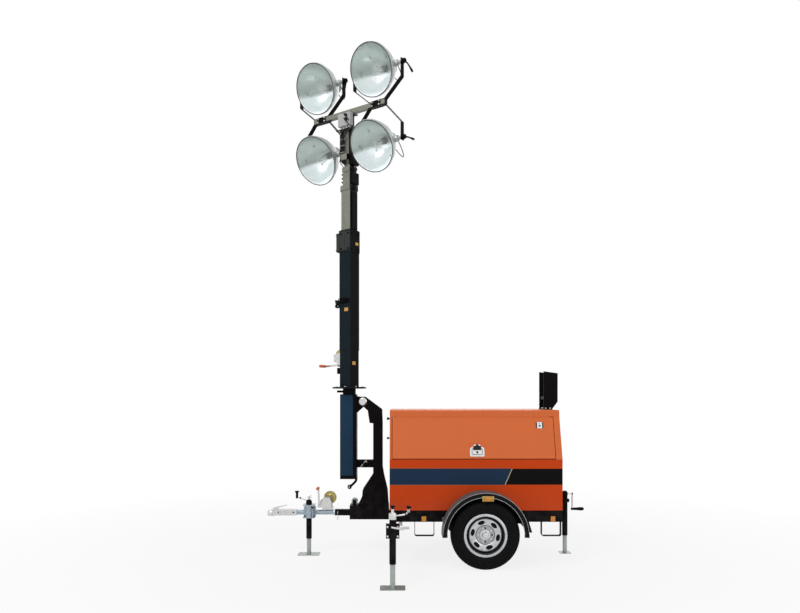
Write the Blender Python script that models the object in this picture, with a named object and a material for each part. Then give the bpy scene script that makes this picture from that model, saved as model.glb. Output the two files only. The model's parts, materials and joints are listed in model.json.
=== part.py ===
"""Towed light tower: enclosed generator trailer with a tilting, turning, telescopic mast and four lamps.

Metres, +Z up. The origin is on the ground under the middle of the length, on the centre line.
-X is the towing end, -Y the side with the pulled-out outrigger seen first. The tower stands on its
jacks with the mast upright, retracted and turned by MAST_TURN_DEG.
"""

import math

import bmesh
import bpy
from mathutils import Matrix, Vector

# Gaps between pieces
SEAT = 0.0003
DOOR_GAP = 0.006

# Facets of the round forms
TUBE_SIDES = 12
WHEEL_SIDES = 26
LAMP_SIDES = 18

# Overall stance
OVERALL_LENGTH = 3.300
NOSE_X = -OVERALL_LENGTH / 2
TAIL_X = OVERALL_LENGTH / 2

# Chassis rails, channels open to the centre line
RAIL_FRONT_X = -0.359
RAIL_REAR_X = 1.294
RAIL_HALF_WIDTH = 0.595
RAIL_BOTTOM_Z = 0.423
RAIL_HEIGHT = 0.110
RAIL_FLANGE = 0.050
RAIL_WALL = 0.005
RAIL_TOP_Z = RAIL_BOTTOM_Z + RAIL_HEIGHT
CROSS_TUBE_BOTTOM_Z = 0.445
CROSS_TUBE_WIDTH = 0.080
SPINE_WIDTH = 0.090

# Fork pockets, bent straps under both rails
FORK_XS = (-0.0315, 1.1885)
FORK_WIDTH = 0.190
FORK_DROP = 0.138
FORK_STRAP_WIDTH = 0.060
FORK_STRAP_WALL = 0.005
FORK_CORNER = 0.018

# Drawbar
DRAW_TUBE_RADIUS = 0.025
DRAW_TUBE_Z = 0.422
DRAW_SLEEVE_FRONT_X = -0.942
DRAW_SLEEVE_SIDE = 0.060
DRAW_BOX_FRONT_X = -0.785
DRAW_BOX_REAR_X = -0.381
DRAW_BOX_BOTTOM_Z = 0.363
DRAW_BOX_TOP_Z = 0.503
DRAW_BOX_HALF_WIDTH = 0.100
DRAW_BOX_WALL = 0.006
TONGUE_HALF_WIDTH = 0.045
TONGUE_REAR_X = 0.120
TONGUE_TOP_Z = CROSS_TUBE_BOTTOM_Z - SEAT

# Cable roller and hand winch on the drawbar
ROLLER_X = -0.738
ROLLER_RADIUS = 0.033
ROLLER_Z = DRAW_BOX_TOP_Z + ROLLER_RADIUS + 0.003
ROLLER_HALF_LENGTH = 0.030
WINCH_X = -1.025
WINCH_BASE_Z = 0.474
WINCH_ARM_REACH = 0.215
MAST_WINCH_Z = 2.034

# Tow coupling for a ball
COUPLER_LENGTH = 0.309
COUPLER_BODY_LENGTH = 0.225
COUPLER_HALF_WIDTH = 0.034
COUPLER_BOTTOM_Z = 0.398
COUPLER_TOP_Z = 0.447
BALL_RADIUS = 0.0255
COUPLER_NOSE_RADIUS = 0.042

# Jacks
JACK_OUTER_RADIUS = 0.0285
JACK_LEG_RADIUS = 0.0225
JACK_FOOT_THICKNESS = 0.006
FRONT_JACK_X = -1.206
FRONT_JACK_Y = -0.075
FRONT_JACK_BOTTOM_Z = 0.164
FRONT_JACK_TOP_Z = 0.570
FRONT_FOOT_WIDTH = 0.222
CLAMP_LENGTH = 0.120
CLAMP_BOTTOM_Z = 0.377
CLAMP_TOP_Z = 0.510
CLAMP_WALL = 0.014
REAR_JACK_X = 1.454
REAR_JACK_BOTTOM_Z = 0.183
REAR_JACK_TOP_Z = 0.650
REAR_FOOT_WIDTH = 0.115
REAR_CRANK_X = 1.532
REAR_CRANK_TOP_Z = 0.615
REAR_CRANK_GRIP_Z = 0.457
FOOT_DEPTH = 0.150

# Outriggers, one beam to each side in sleeves that lie side by side
SLEEVE_SIDE = 0.070
SLEEVE_WALL = 0.006
SLEEVE_STICK_OUT = 0.017
SLEEVE_END_Y = RAIL_HALF_WIDTH + SLEEVE_STICK_OUT
SLEEVE_Z = 0.480
OUTRIGGER_XS = (-0.328, -0.328 + SLEEVE_SIDE)
OUTRIGGER_REACH = 1.400
OUTRIGGER_OVERLAP = 0.200
OUTRIGGER_BRACKET_WIDTH = 0.106
OUTRIGGER_BRACKET_HEIGHT = 0.116
OUTRIGGER_BRACKET_DEPTH = 0.040
OUTRIGGER_JACK_BOTTOM_Z = 0.205
OUTRIGGER_JACK_TOP_Z = 0.640
OUTRIGGER_FOOT_WIDTH = 0.215
CRANK_ROD_RADIUS = 0.007
GRIP_RADIUS = 0.013

# Axle and wheels
WHEEL_X = 0.535
TYRE_RADIUS = 0.325
TYRE_WIDTH = 0.185
WHEEL_GAP = 0.017
TYRE_INNER_Y = RAIL_HALF_WIDTH + WHEEL_GAP
WHEEL_Y = TYRE_INNER_Y + TYRE_WIDTH / 2
RIM_RADIUS = 0.180
RIM_FLANGE_RADIUS = 0.202
RIM_WALL = 0.005
RIM_HALF_WIDTH = 0.074
DISC_Y = 0.030
HUB_RADIUS = 0.046
HUB_FLANGE_RADIUS = 0.075
WHEEL_SLOTS = 6
SLOT_CENTRE_RADIUS = 0.118
AXLE_X = 0.430
AXLE_SIDE = 0.070
AXLE_TOP_Z = RAIL_BOTTOM_Z - SEAT
FENDER_CLEARANCE = 0.080
FENDER_RADIUS = TYRE_RADIUS + FENDER_CLEARANCE
FENDER_WALL = 0.004
FENDER_LIP = 0.046
FENDER_OVERHANG = 0.015
FENDER_OUTER_Y = TYRE_INNER_Y + TYRE_WIDTH + FENDER_OVERHANG
FENDER_STAY_Z = RAIL_BOTTOM_Z + 0.027
FENDER_DEG = (-2.0, 182.0)

# Canopy
CANOPY_NOSE = 0.007
CANOPY_FRONT_X = RAIL_FRONT_X - CANOPY_NOSE
CANOPY_REAR_X = RAIL_REAR_X
CANOPY_OVERHANG = 0.005
CANOPY_HALF_WIDTH = RAIL_HALF_WIDTH + CANOPY_OVERHANG
CANOPY_BASE_Z = RAIL_TOP_Z + SEAT
BELT_Z = 1.025
EAVES_Z = 1.430
ROOF_Z = 1.495
EAVES_INSET = 0.140
EAVES_HALF_WIDTH = CANOPY_HALF_WIDTH - EAVES_INSET
WALL = 0.025
FRONT_WALL = 0.020
REAR_WALL = 0.060
FLOOR_THICKNESS = 0.010
ROOF_THICKNESS = 0.025
HINGE_RADIUS = 0.006
LATCH_X = 0.477
LATCH_Z = 1.105
LATCH_WIDTH = 0.145
LATCH_HEIGHT = 0.130
CONTROL_HALF_WIDTH = 0.260
CONTROL_BOTTOM_Z = 0.900
CONTROL_TOP_Z = 1.300
CONTROL_DEPTH = 0.042
CONTROL_DOOR_THICKNESS = 0.022
ENGINE_SIZE = (0.780, 0.420, 0.560)
ENGINE_X = 0.480

# Mast post, pivot and the tilting base
POST_COLUMN_X = (-0.543, -0.447)
POST_HALF_WIDTH = 0.090
POST_PLATE = 0.010
PIVOT_X = -0.648
PIVOT_Z = 1.577
PIVOT_RADIUS = 0.020
PIVOT_SIDES = 24
PIVOT_CAP_RADIUS = 0.040
POST_HEAD_RADIUS = 0.060
EAR_HALF_WIDTH = 0.060
EAR_PLATE = 0.012
EAR_RADIUS = 0.045
MAST_X = -0.795
HOUSING_X = (-0.885, -0.714)
HOUSING_HALF_WIDTH = 0.083
HOUSING_Z = (0.775, 1.651)
HOUSING_WALL = 0.008
NECK_RADIUS = 0.068
TURNTABLE_Z = 1.712
TURNTABLE_RADIUS = 0.175
TURNTABLE_THICKNESS = 0.015
MAST_TURN_DEG = -36.0

# Telescopic sections: side, wall, bottom and top of each, from the outside in
MAST_SIDES = (0.140, 0.118, 0.096, 0.074)
MAST_WALL = 0.005
MAST_BOTTOMS = (TURNTABLE_Z + TURNTABLE_THICKNESS - 0.002, 1.760, 1.770, 1.780)
MAST_TOPS = (3.354, 3.822, 4.014, 4.566)
PAD_LENGTH = 0.060
COLLAR_LENGTH = 0.231
COLLAR_WALL = 0.007
WEAR_PLATE_Z = (2.107, 3.123)
MAST_LOOP_Z = 2.560
LOWER_BOX_Z = (1.866, 1.929)

# Crossbar, yokes and lamps, in the turned mast's own frame
BAR_Z = 4.590
BAR_SIDE = 0.048
BAR_HALF_LENGTH = 0.478
LAMP_OFFSET = 0.378
UPPER_LAMP_Z = 4.940
LOWER_LAMP_Z = 4.190
UPPER_LAMP_DIP_DEG = 22.0
LOWER_LAMP_DIP_DEG = 29.0
YOKE_WALL = 0.006
YOKE_WIDTH = 0.050
YOKE_HALF_BASE = 0.100
YOKE_HALF_SPAN = 0.303
YOKE_STRAIGHT = 0.150
YOKE_TIP = 0.030
LAMP_RIM_AHEAD = 0.127
LAMP_RADIUS = 0.258
LAMP_WALL = 0.004
LAMP_NECK_RADIUS = 0.055
LAMP_NECK_END = 0.290
BULB_RADIUS = 0.045
GLASS_THICKNESS = 0.005
TRUNNION_RADIUS = 0.016
TRUNNION_BOSS_RADIUS = 0.032
TRUNNION_BOSS_END = 0.258

# Mast rest at the roof's rear edge
REST_X = (1.209, 1.354)
REST_TOP_Z = 1.888
REST_HALF_GAP = 0.110
REST_SADDLE_Z = 1.630
REST_PLATE = 0.008

MATERIALS = {
    "orange_paint": ((0.44, 0.045, 0.014), 0.40, 0.0),
    "black_paint": ((0.010, 0.010, 0.012), 0.45, 0.0),
    "blue_paint": ((0.018, 0.045, 0.090), 0.42, 0.0),
    "zinc": ((0.46, 0.50, 0.49), 0.42, 0.9),
    "bright_zinc": ((0.62, 0.64, 0.62), 0.30, 0.95),
    "yellow_zinc": ((0.45, 0.34, 0.10), 0.35, 0.9),
    "wheel_silver": ((0.55, 0.57, 0.58), 0.35, 0.7),
    "rubber": ((0.014, 0.014, 0.015), 0.85, 0.0),
    "glass": ((0.75, 0.80, 0.82), 0.05, 0.0),
    "engine_grey": ((0.09, 0.10, 0.11), 0.60, 0.0),
    "socket_white": ((0.62, 0.64, 0.63), 0.50, 0.0),
}


def clear_scene():
    for item in list(bpy.data.objects):
        bpy.data.objects.remove(item)


def make_material(name):
    colour, roughness, metallic = MATERIALS[name]
    made = bpy.data.materials.get(name)
    if made is None:
        made = bpy.data.materials.new(name)
        made.use_nodes = True
        shader = made.node_tree.nodes["Principled BSDF"]
        shader.inputs["Base Color"].default_value = (*colour, 1.0)
        shader.inputs["Roughness"].default_value = roughness
        shader.inputs["Metallic"].default_value = metallic
    return made


def as_object(shape):
    """A temporary object round a finished bmesh."""
    bmesh.ops.recalc_face_normals(shape, faces=shape.faces)
    if shape.calc_volume(signed=True) < 0.0:
        bmesh.ops.reverse_faces(shape, faces=shape.faces)
    mesh = bpy.data.meshes.new("shape")
    shape.to_mesh(mesh)
    shape.free()
    made = bpy.data.objects.new("shape", mesh)
    bpy.context.collection.objects.link(made)
    return made


def prism(outline, axis, low, high):
    """An outline pushed along an axis: (y, z) for X, (x, z) for Y and (x, y) for Z."""
    places = {
        "X": lambda a, b: (low, a, b),
        "Y": lambda a, b: (a, low, b),
        "Z": lambda a, b: (a, b, low),
    }
    shape = bmesh.new()
    corners = [shape.verts.new(places[axis](a, b)) for a, b in outline]
    face = shape.faces.new(corners)
    pushed = bmesh.ops.extrude_face_region(shape, geom=[face])
    moved = [item for item in pushed["geom"] if isinstance(item, bmesh.types.BMVert)]
    step = Vector([high - low if axis == letter else 0.0 for letter in "XYZ"])
    bmesh.ops.translate(shape, verts=moved, vec=step)
    return as_object(shape)


def box(x, y, z):
    """A block between two limits on each axis."""
    return prism([(x[0], y[0]), (x[1], y[0]), (x[1], y[1]), (x[0], y[1])], "Z", z[0], z[1])


def middle(centre, width):
    """The two limits of a width about its centre."""
    return (centre - width / 2, centre + width / 2)


def turned(profile, start, direction, sides=24):
    """A profile of (along, radius) points revolved about a line; a closed ring never meets the line."""
    shape = bmesh.new()
    corners = [shape.verts.new((radius, 0.0, along)) for along, radius in profile]
    edges = [shape.edges.new(pair) for pair in zip(corners, corners[1:])]
    if min(radius for _, radius in profile) > 0.0:
        edges.append(shape.edges.new((corners[-1], corners[0])))
    bmesh.ops.spin(
        shape, geom=corners + edges, cent=(0, 0, 0), axis=(0, 0, 1),
        angle=math.tau, steps=sides, use_merge=True, use_duplicate=False,
    )
    bmesh.ops.remove_doubles(shape, verts=shape.verts, dist=0.000001)
    turn = Vector((0, 0, 1)).rotation_difference(Vector(direction)).to_matrix().to_4x4()
    shape.transform(Matrix.Translation(start) @ turn)
    return as_object(shape)


def rod(start, end, radius, sides=12):
    """A plain round bar between two points."""
    line = Vector(end) - Vector(start)
    profile = [(0.0, 0.0), (0.0, radius), (line.length, radius), (line.length, 0.0)]
    return turned(profile, start, line.normalized(), sides)


def combine(base, others, operation):
    """A union or a difference of temporary solids, applied to the first in one step."""
    group = bpy.data.collections.new("operands")
    bpy.context.scene.collection.children.link(group)
    for other in others:
        group.objects.link(other)
    change = base.modifiers.new("combine", "BOOLEAN")
    change.operation = operation
    change.operand_type = "COLLECTION"
    change.collection = group
    change.solver = "EXACT"
    graph = bpy.context.evaluated_depsgraph_get()
    mesh = bpy.data.meshes.new_from_object(base.evaluated_get(graph))
    base.modifiers.clear()
    base.data = mesh
    for other in others:
        bpy.data.objects.remove(other)
    bpy.data.collections.remove(group)
    return base


def fuse(*solids):
    return combine(solids[0], solids[1:], "UNION")


def cut(base, *cutters):
    return combine(base, cutters, "DIFFERENCE")


def empty(name, place, parent=None, turn_deg=0.0):
    """A joint's axis or a frame, as a parent for its pieces."""
    made = bpy.data.objects.new(name, None)
    made.empty_display_size = 0.1
    bpy.context.collection.objects.link(made)
    world = Matrix.Translation(place) @ Matrix.Rotation(math.radians(turn_deg), 4, "Z")
    made.parent = parent
    made.matrix_world = world
    bpy.context.view_layer.update()
    return made


def node(name, solid, material, parent, frame=None):
    """Names a finished solid, gives it its material and hangs it on its parent."""
    if frame is not None:
        solid.data.transform(frame.matrix_world)
    solid.data.transform(parent.matrix_world.inverted())
    solid.name = name
    solid.data.name = name
    solid.data.materials.clear()
    solid.data.materials.append(make_material(material))
    solid.data.shade_smooth()
    solid.data.set_sharp_from_angle(angle=math.radians(35.0))
    solid.parent = parent
    return solid


def arc(centre, radius, start_deg, end_deg, steps):
    """Points of an arc in the plane of an outline."""
    points = []
    for step in range(steps + 1):
        angle = math.radians(start_deg + (end_deg - start_deg) * step / steps)
        points.append((centre[0] + radius * math.cos(angle), centre[1] + radius * math.sin(angle)))
    return points


def rounded_rectangle(width, height, corner, steps=3):
    """An outline about (0, 0) with equal round corners."""
    half_w = width / 2 - corner
    half_h = height / 2 - corner
    points = []
    for x, y, start in ((half_w, half_h, 0), (-half_w, half_h, 90), (-half_w, -half_h, 180), (half_w, -half_h, 270)):
        points += arc((x, y), corner, start, start + 90, steps)
    return points


def shifted(outline, place):
    return [(a + place[0], b + place[1]) for a, b in outline]


def mirrored(outline):
    """The same outline on the other side of its first axis."""
    return [(-a, b) for a, b in reversed(outline)]


def chassis(root):
    """Two channel rails with their fork straps, and the ladder of tubes between them."""
    sleeve_hole = SLEEVE_SIDE + 2 * SEAT
    for side, hand in ((-1, "left"), (1, "right")):
        outer = RAIL_HALF_WIDTH
        channel = [
            (outer, RAIL_BOTTOM_Z), (outer, RAIL_TOP_Z),
            (outer - RAIL_FLANGE, RAIL_TOP_Z), (outer - RAIL_FLANGE, RAIL_TOP_Z - RAIL_WALL),
            (outer - RAIL_WALL, RAIL_TOP_Z - RAIL_WALL), (outer - RAIL_WALL, RAIL_BOTTOM_Z + RAIL_WALL),
            (outer - RAIL_FLANGE, RAIL_BOTTOM_Z + RAIL_WALL), (outer - RAIL_FLANGE, RAIL_BOTTOM_Z),
        ]
        if side < 0:
            channel = mirrored(channel)
        rail = prism(channel, "X", RAIL_FRONT_X, RAIL_REAR_X)
        straps = [fork_strap(x, side) for x in FORK_XS]
        sleeve_x = OUTRIGGER_XS[0] if side < 0 else OUTRIGGER_XS[1]
        hole = box(middle(sleeve_x, sleeve_hole), middle(side * outer, 0.040), middle(SLEEVE_Z, sleeve_hole))
        node("chassis_rail_" + hand, cut(fuse(rail, *straps), hole), "black_paint", root)

    tube_top = RAIL_TOP_Z - RAIL_WALL - SEAT
    tube_z = (CROSS_TUBE_BOTTOM_Z, tube_top)
    tube_end = RAIL_HALF_WIDTH - RAIL_WALL - SEAT
    spine_front = OUTRIGGER_XS[1] + SLEEVE_SIDE / 2 + SEAT
    spine = box((spine_front, RAIL_REAR_X - 0.010), middle(0, SPINE_WIDTH), tube_z)
    crossings = [
        box(middle(x, CROSS_TUBE_WIDTH), (-tube_end, tube_end), (tube_z[0] + 0.002, tube_z[1] - 0.002))
        for x in (-0.130, AXLE_X, RAIL_REAR_X - CROSS_TUBE_WIDTH / 2)
    ]
    node("chassis_ladder", fuse(spine, *crossings), "black_paint", root)

    sleeves = []
    tube_bore = SLEEVE_SIDE - 2 * SLEEVE_WALL
    for side, x in ((-1, OUTRIGGER_XS[0]), (1, OUTRIGGER_XS[1])):
        ends = sorted((side * SLEEVE_END_Y, -side * tube_end))
        sleeves.append((x, ends))
    joined = fuse(*[box(middle(x, SLEEVE_SIDE + 0.0002), y, middle(SLEEVE_Z, SLEEVE_SIDE)) for x, y in sleeves])
    bores = [
        box(middle(x, tube_bore), (y[0] - 0.01, y[1] + 0.01), middle(SLEEVE_Z, tube_bore))
        for x, y in sleeves
    ]
    node("outrigger_sleeves", cut(joined, *bores), "black_paint", root)


def fork_strap(x, side):
    """A flat bar bent into a square loop under a rail, for one fork."""
    outer = rounded_rectangle(FORK_WIDTH, FORK_DROP + 0.060, FORK_CORNER)
    inner = rounded_rectangle(
        FORK_WIDTH - 2 * FORK_STRAP_WALL, FORK_DROP + 0.060 - 2 * FORK_STRAP_WALL, FORK_CORNER - FORK_STRAP_WALL,
    )
    centre_z = RAIL_BOTTOM_Z - FORK_DROP + (FORK_DROP + 0.060) / 2
    y = sorted((side * (RAIL_HALF_WIDTH - 0.001), side * (RAIL_HALF_WIDTH - FORK_STRAP_WIDTH)))
    loop = cut(
        prism(shifted(outer, (x, centre_z)), "Y", *y),
        prism(shifted(inner, (x, centre_z)), "Y", y[0] - 0.01, y[1] + 0.01),
    )
    above = box(middle(x, FORK_WIDTH + 0.02), (y[0] - 0.02, y[1] + 0.02), (RAIL_BOTTOM_Z + 0.003, RAIL_TOP_Z))
    return cut(loop, above)


def drawbar(root):
    """The deep box under the post, its tongue under the chassis and the sleeve of the drawbar tube."""
    shell = box((DRAW_BOX_FRONT_X, DRAW_BOX_REAR_X), middle(0, 2 * DRAW_BOX_HALF_WIDTH),
                (DRAW_BOX_BOTTOM_Z, DRAW_BOX_TOP_Z))
    hollow = box(
        (DRAW_BOX_FRONT_X + DRAW_BOX_WALL, DRAW_BOX_REAR_X + 0.01),
        middle(0, 2 * (DRAW_BOX_HALF_WIDTH - DRAW_BOX_WALL)),
        (DRAW_BOX_BOTTOM_Z + DRAW_BOX_WALL, DRAW_BOX_TOP_Z - DRAW_BOX_WALL),
    )
    tongue = box((DRAW_BOX_REAR_X - 0.080, TONGUE_REAR_X), middle(0, 2 * TONGUE_HALF_WIDTH),
                 (DRAW_BOX_BOTTOM_Z + 0.001, TONGUE_TOP_Z))
    sleeve = box((DRAW_SLEEVE_FRONT_X, DRAW_BOX_FRONT_X + 0.004), middle(0, DRAW_SLEEVE_SIDE),
                 middle(DRAW_TUBE_Z, DRAW_SLEEVE_SIDE))
    lugs = [
        box(middle(ROLLER_X, 0.034), middle(y, 0.008), (DRAW_BOX_TOP_Z - 0.002, ROLLER_Z + 0.018))
        for y in (-ROLLER_HALF_LENGTH - 0.004 - SEAT, ROLLER_HALF_LENGTH + 0.004 + SEAT)
    ]
    bore = rod(
        (DRAW_SLEEVE_FRONT_X - 0.01, 0, DRAW_TUBE_Z), (DRAW_BOX_FRONT_X - 0.012, 0, DRAW_TUBE_Z),
        DRAW_TUBE_RADIUS + SEAT, TUBE_SIDES,
    )
    node("drawbar", cut(fuse(cut(shell, hollow), tongue, sleeve, *lugs), bore), "black_paint", root)

    roller = turned(
        [(0, 0), (0, ROLLER_RADIUS), (0.008, ROLLER_RADIUS), (0.016, 0.024),
         (2 * ROLLER_HALF_LENGTH - 0.016, 0.024), (2 * ROLLER_HALF_LENGTH - 0.008, ROLLER_RADIUS),
         (2 * ROLLER_HALF_LENGTH, ROLLER_RADIUS), (2 * ROLLER_HALF_LENGTH, 0)],
        (ROLLER_X, -ROLLER_HALF_LENGTH, ROLLER_Z), (0, 1, 0), 14,
    )
    node("cable_roller", roller, "zinc", root)

    tube_start = NOSE_X + COUPLER_LENGTH - 0.070
    tube_end = DRAW_BOX_FRONT_X - 0.014
    tube = turned(
        [(0, DRAW_TUBE_RADIUS - 0.004), (0, DRAW_TUBE_RADIUS), (tube_end - tube_start, DRAW_TUBE_RADIUS),
         (tube_end - tube_start, DRAW_TUBE_RADIUS - 0.004)],
        (tube_start, 0, DRAW_TUBE_Z), (1, 0, 0), TUBE_SIDES,
    )
    node("drawbar_tube", tube, "bright_zinc", root)


def coupling(root):
    """Cast ball coupling: nose with its ball cup, body round the tube, hand lever and two bolts."""
    nose_x = NOSE_X + COUPLER_NOSE_RADIUS
    body_end = NOSE_X + COUPLER_LENGTH
    body_start = body_end - COUPLER_BODY_LENGTH
    body_z = (COUPLER_BOTTOM_Z - 0.006, COUPLER_TOP_Z + 0.006)
    body = box((body_start, body_end), middle(0, 2 * COUPLER_HALF_WIDTH), body_z)
    nose = turned(
        [(0, 0), (0, COUPLER_NOSE_RADIUS), (0.040, COUPLER_NOSE_RADIUS), (0.058, 0.030), (0.062, 0)],
        (nose_x, 0, COUPLER_BOTTOM_Z - 0.010), (0, 0, 1), 24,
    )
    web = prism(
        [(nose_x, -0.036), (body_start + 0.02, -0.030), (body_start + 0.02, 0.030), (nose_x, 0.036)],
        "Z", COUPLER_BOTTOM_Z - 0.002, COUPLER_TOP_Z,
    )
    lever = prism(
        [(nose_x + 0.015, COUPLER_TOP_Z - 0.01), (nose_x + 0.060, COUPLER_TOP_Z - 0.01),
         (nose_x + 0.075, 0.470), (body_start + 0.120, 0.492), (body_start + 0.120, 0.501),
         (nose_x + 0.060, 0.480), (nose_x + 0.020, 0.468)],
        "Y", -0.014, 0.014,
    )
    bolts = [
        rod((body_start + share, -COUPLER_HALF_WIDTH - 0.010, DRAW_TUBE_Z),
            (body_start + share, COUPLER_HALF_WIDTH + 0.010, DRAW_TUBE_Z), 0.011, 6)
        for share in (0.050, 0.115)
    ]
    cup = turned(
        [(-0.02, 0), (-0.02, BALL_RADIUS), (0.016, BALL_RADIUS), (0.030, 0.020), (0.038, 0)],
        (nose_x, 0, COUPLER_BOTTOM_Z - 0.010), (0, 0, 1), 20,
    )
    socket = rod(
        (body_end - 0.070 - SEAT, 0, DRAW_TUBE_Z), (body_end + 0.01, 0, DRAW_TUBE_Z), DRAW_TUBE_RADIUS + SEAT, TUBE_SIDES,
    )
    node("tow_coupling", cut(fuse(body, nose, web, lever, *bolts), cup, socket), "bright_zinc", root)


def jack_outer(x, y, bottom_z, top_z):
    """The black outer tube of a screw jack with its cap, as one shape open below."""
    tube = rod((x, y, bottom_z), (x, y, top_z - 0.040), JACK_OUTER_RADIUS, TUBE_SIDES)
    cap = turned(
        [(0, 0), (0, 0.031), (0.030, 0.031), (0.044, 0.020), (0.052, 0)], (x, y, top_z - 0.052), (0, 0, 1), TUBE_SIDES,
    )
    bore = rod((x, y, bottom_z - 0.01), (x, y, top_z - 0.070), JACK_LEG_RADIUS + SEAT, TUBE_SIDES)
    return tube, cap, bore


def jack_leg(x, y, outer_bottom_z, foot_width, hidden=0.120):
    """The inner tube and its flat foot on the ground."""
    tube = turned(
        [(0.002, JACK_LEG_RADIUS - 0.003), (0.002, JACK_LEG_RADIUS),
         (outer_bottom_z + hidden, JACK_LEG_RADIUS), (outer_bottom_z + hidden, JACK_LEG_RADIUS - 0.003)],
        (x, y, 0), (0, 0, 1), TUBE_SIDES,
    )
    foot = prism(
        shifted(rounded_rectangle(foot_width, min(foot_width, FOOT_DEPTH), 0.012, 2), (x, y)),
        "Z", 0, JACK_FOOT_THICKNESS,
    )
    return fuse(foot, tube)


def crank(start, knee, end, grip_top, radius=CRANK_ROD_RADIUS):
    """A bent crank rod with an upright or level grip at its end."""
    bend = radius * 1.2
    grip_line = (Vector(grip_top) - Vector(end)).normalized()
    grip_start = Vector(end) - grip_line * GRIP_RADIUS
    return [
        rod(start, knee, radius, 8),
        turned([(-bend * 1.4, 0), (-bend, bend), (bend, bend), (bend * 1.4, 0)], knee, (0, 0, 1), 11),
        rod(knee, end, radius, 8),
        rod(grip_start, grip_top, GRIP_RADIUS, 10),
    ]


def jacks(root):
    """Front jack in its drawbar clamp and the jack behind the chassis, on the centre line."""
    x, y = FRONT_JACK_X, FRONT_JACK_Y
    tube, cap, bore = jack_outer(x, y, FRONT_JACK_BOTTOM_Z, FRONT_JACK_TOP_Z)
    top = FRONT_JACK_TOP_Z - 0.020
    handle = crank((x, y, top), (x - 0.090, y, top + 0.030), (x - 0.124, y, top + 0.040),
                   (x - 0.124, y, top + 0.100))
    node("front_jack_outer", cut(fuse(tube, cap, *handle), bore), "black_paint", root)
    node("front_jack_leg", jack_leg(x, y, FRONT_JACK_BOTTOM_Z, FRONT_FOOT_WIDTH), "zinc", root)

    jack_side = rod((x, y, CLAMP_BOTTOM_Z), (x, y, CLAMP_TOP_Z), JACK_OUTER_RADIUS + CLAMP_WALL, 16)
    tube_block = prism(
        shifted(rounded_rectangle(2 * (DRAW_TUBE_RADIUS + CLAMP_WALL), 0.100, 0.020), (0, DRAW_TUBE_Z + 0.010)),
        "X", x - CLAMP_LENGTH / 2, x + CLAMP_LENGTH / 2,
    )
    ear = box((x - 0.045, x + 0.045), (y, -0.020), (CLAMP_BOTTOM_Z + 0.010, CLAMP_TOP_Z - 0.010))
    bolts = [
        rod((x + shift, -0.060, CLAMP_TOP_Z - 0.022), (x + shift, 0.052, CLAMP_TOP_Z - 0.022), 0.009, 6)
        for shift in (-0.030, 0.030)
    ]
    upper = box((x - 0.050, x + 0.050), (-0.030, 0.034), (DRAW_TUBE_Z + 0.045, CLAMP_TOP_Z - 0.004))
    holes = [
        rod((x, y, CLAMP_BOTTOM_Z - 0.01), (x, y, CLAMP_TOP_Z + 0.01), JACK_OUTER_RADIUS + SEAT, TUBE_SIDES),
        rod((x - 0.1, 0, DRAW_TUBE_Z), (x + 0.1, 0, DRAW_TUBE_Z), DRAW_TUBE_RADIUS + SEAT, TUBE_SIDES),
    ]
    node("front_jack_clamp", cut(fuse(jack_side, tube_block, ear, upper, *bolts), *holes), "zinc", root)

    x = REAR_JACK_X
    tube, cap, bore = jack_outer(x, 0, REAR_JACK_BOTTOM_Z, REAR_JACK_TOP_Z)
    bracket = box((RAIL_REAR_X + SEAT, x - 0.010), middle(0, 0.090), (0.436, 0.524))
    handle = crank(
        (x, 0, REAR_CRANK_TOP_Z), (REAR_CRANK_X, 0, REAR_CRANK_TOP_Z), (REAR_CRANK_X, 0, REAR_CRANK_GRIP_Z),
        (TAIL_X, 0, REAR_CRANK_GRIP_Z),
    )
    node("rear_jack_outer", cut(fuse(tube, cap, bracket, *handle), bore), "black_paint", root)
    node("rear_jack_leg", jack_leg(x, 0, REAR_JACK_BOTTOM_Z, REAR_FOOT_WIDTH), "zinc", root)


def outriggers(root):
    """A pulled-out beam to each side, with a screw jack in the bracket at its end."""
    beam_side = SLEEVE_SIDE - 2 * SLEEVE_WALL - 2 * SEAT
    for side, hand, x in ((-1, "left", OUTRIGGER_XS[0]), (1, "right", OUTRIGGER_XS[1])):
        slide = empty("slide_outrigger_" + hand, (x, side * SLEEVE_END_Y, SLEEVE_Z), root)
        jack_y = side * OUTRIGGER_REACH
        bracket_y = side * (OUTRIGGER_REACH - JACK_OUTER_RADIUS - OUTRIGGER_BRACKET_DEPTH)
        beam = box(
            middle(x, beam_side), sorted((side * (SLEEVE_END_Y - OUTRIGGER_OVERLAP), bracket_y + side * 0.004)),
            middle(SLEEVE_Z, beam_side),
        )
        bracket = box(
            middle(x, OUTRIGGER_BRACKET_WIDTH), sorted((bracket_y, jack_y + side * 0.004)),
            middle(SLEEVE_Z, OUTRIGGER_BRACKET_HEIGHT),
        )
        hole = rod((x, jack_y, SLEEVE_Z - 0.1), (x, jack_y, SLEEVE_Z + 0.1), JACK_OUTER_RADIUS + SEAT, TUBE_SIDES)
        node(f"outrigger_{hand}_beam", cut(fuse(beam, bracket), hole), "black_paint", slide)

        tube, cap, bore = jack_outer(x, jack_y, OUTRIGGER_JACK_BOTTOM_Z, OUTRIGGER_JACK_TOP_Z)
        top = OUTRIGGER_JACK_TOP_Z - 0.026
        handle = crank((x, jack_y, top), (x + 0.110, jack_y, top + 0.012), (x + 0.134, jack_y, top + 0.034),
                       (x + 0.134, jack_y, top + 0.074))
        node(f"outrigger_{hand}_outer", cut(fuse(tube, cap, *handle), bore), "black_paint", slide)
        leg = jack_leg(x, jack_y, OUTRIGGER_JACK_BOTTOM_Z, OUTRIGGER_FOOT_WIDTH)
        node(f"outrigger_{hand}_leg", leg, "zinc", slide)


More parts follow.
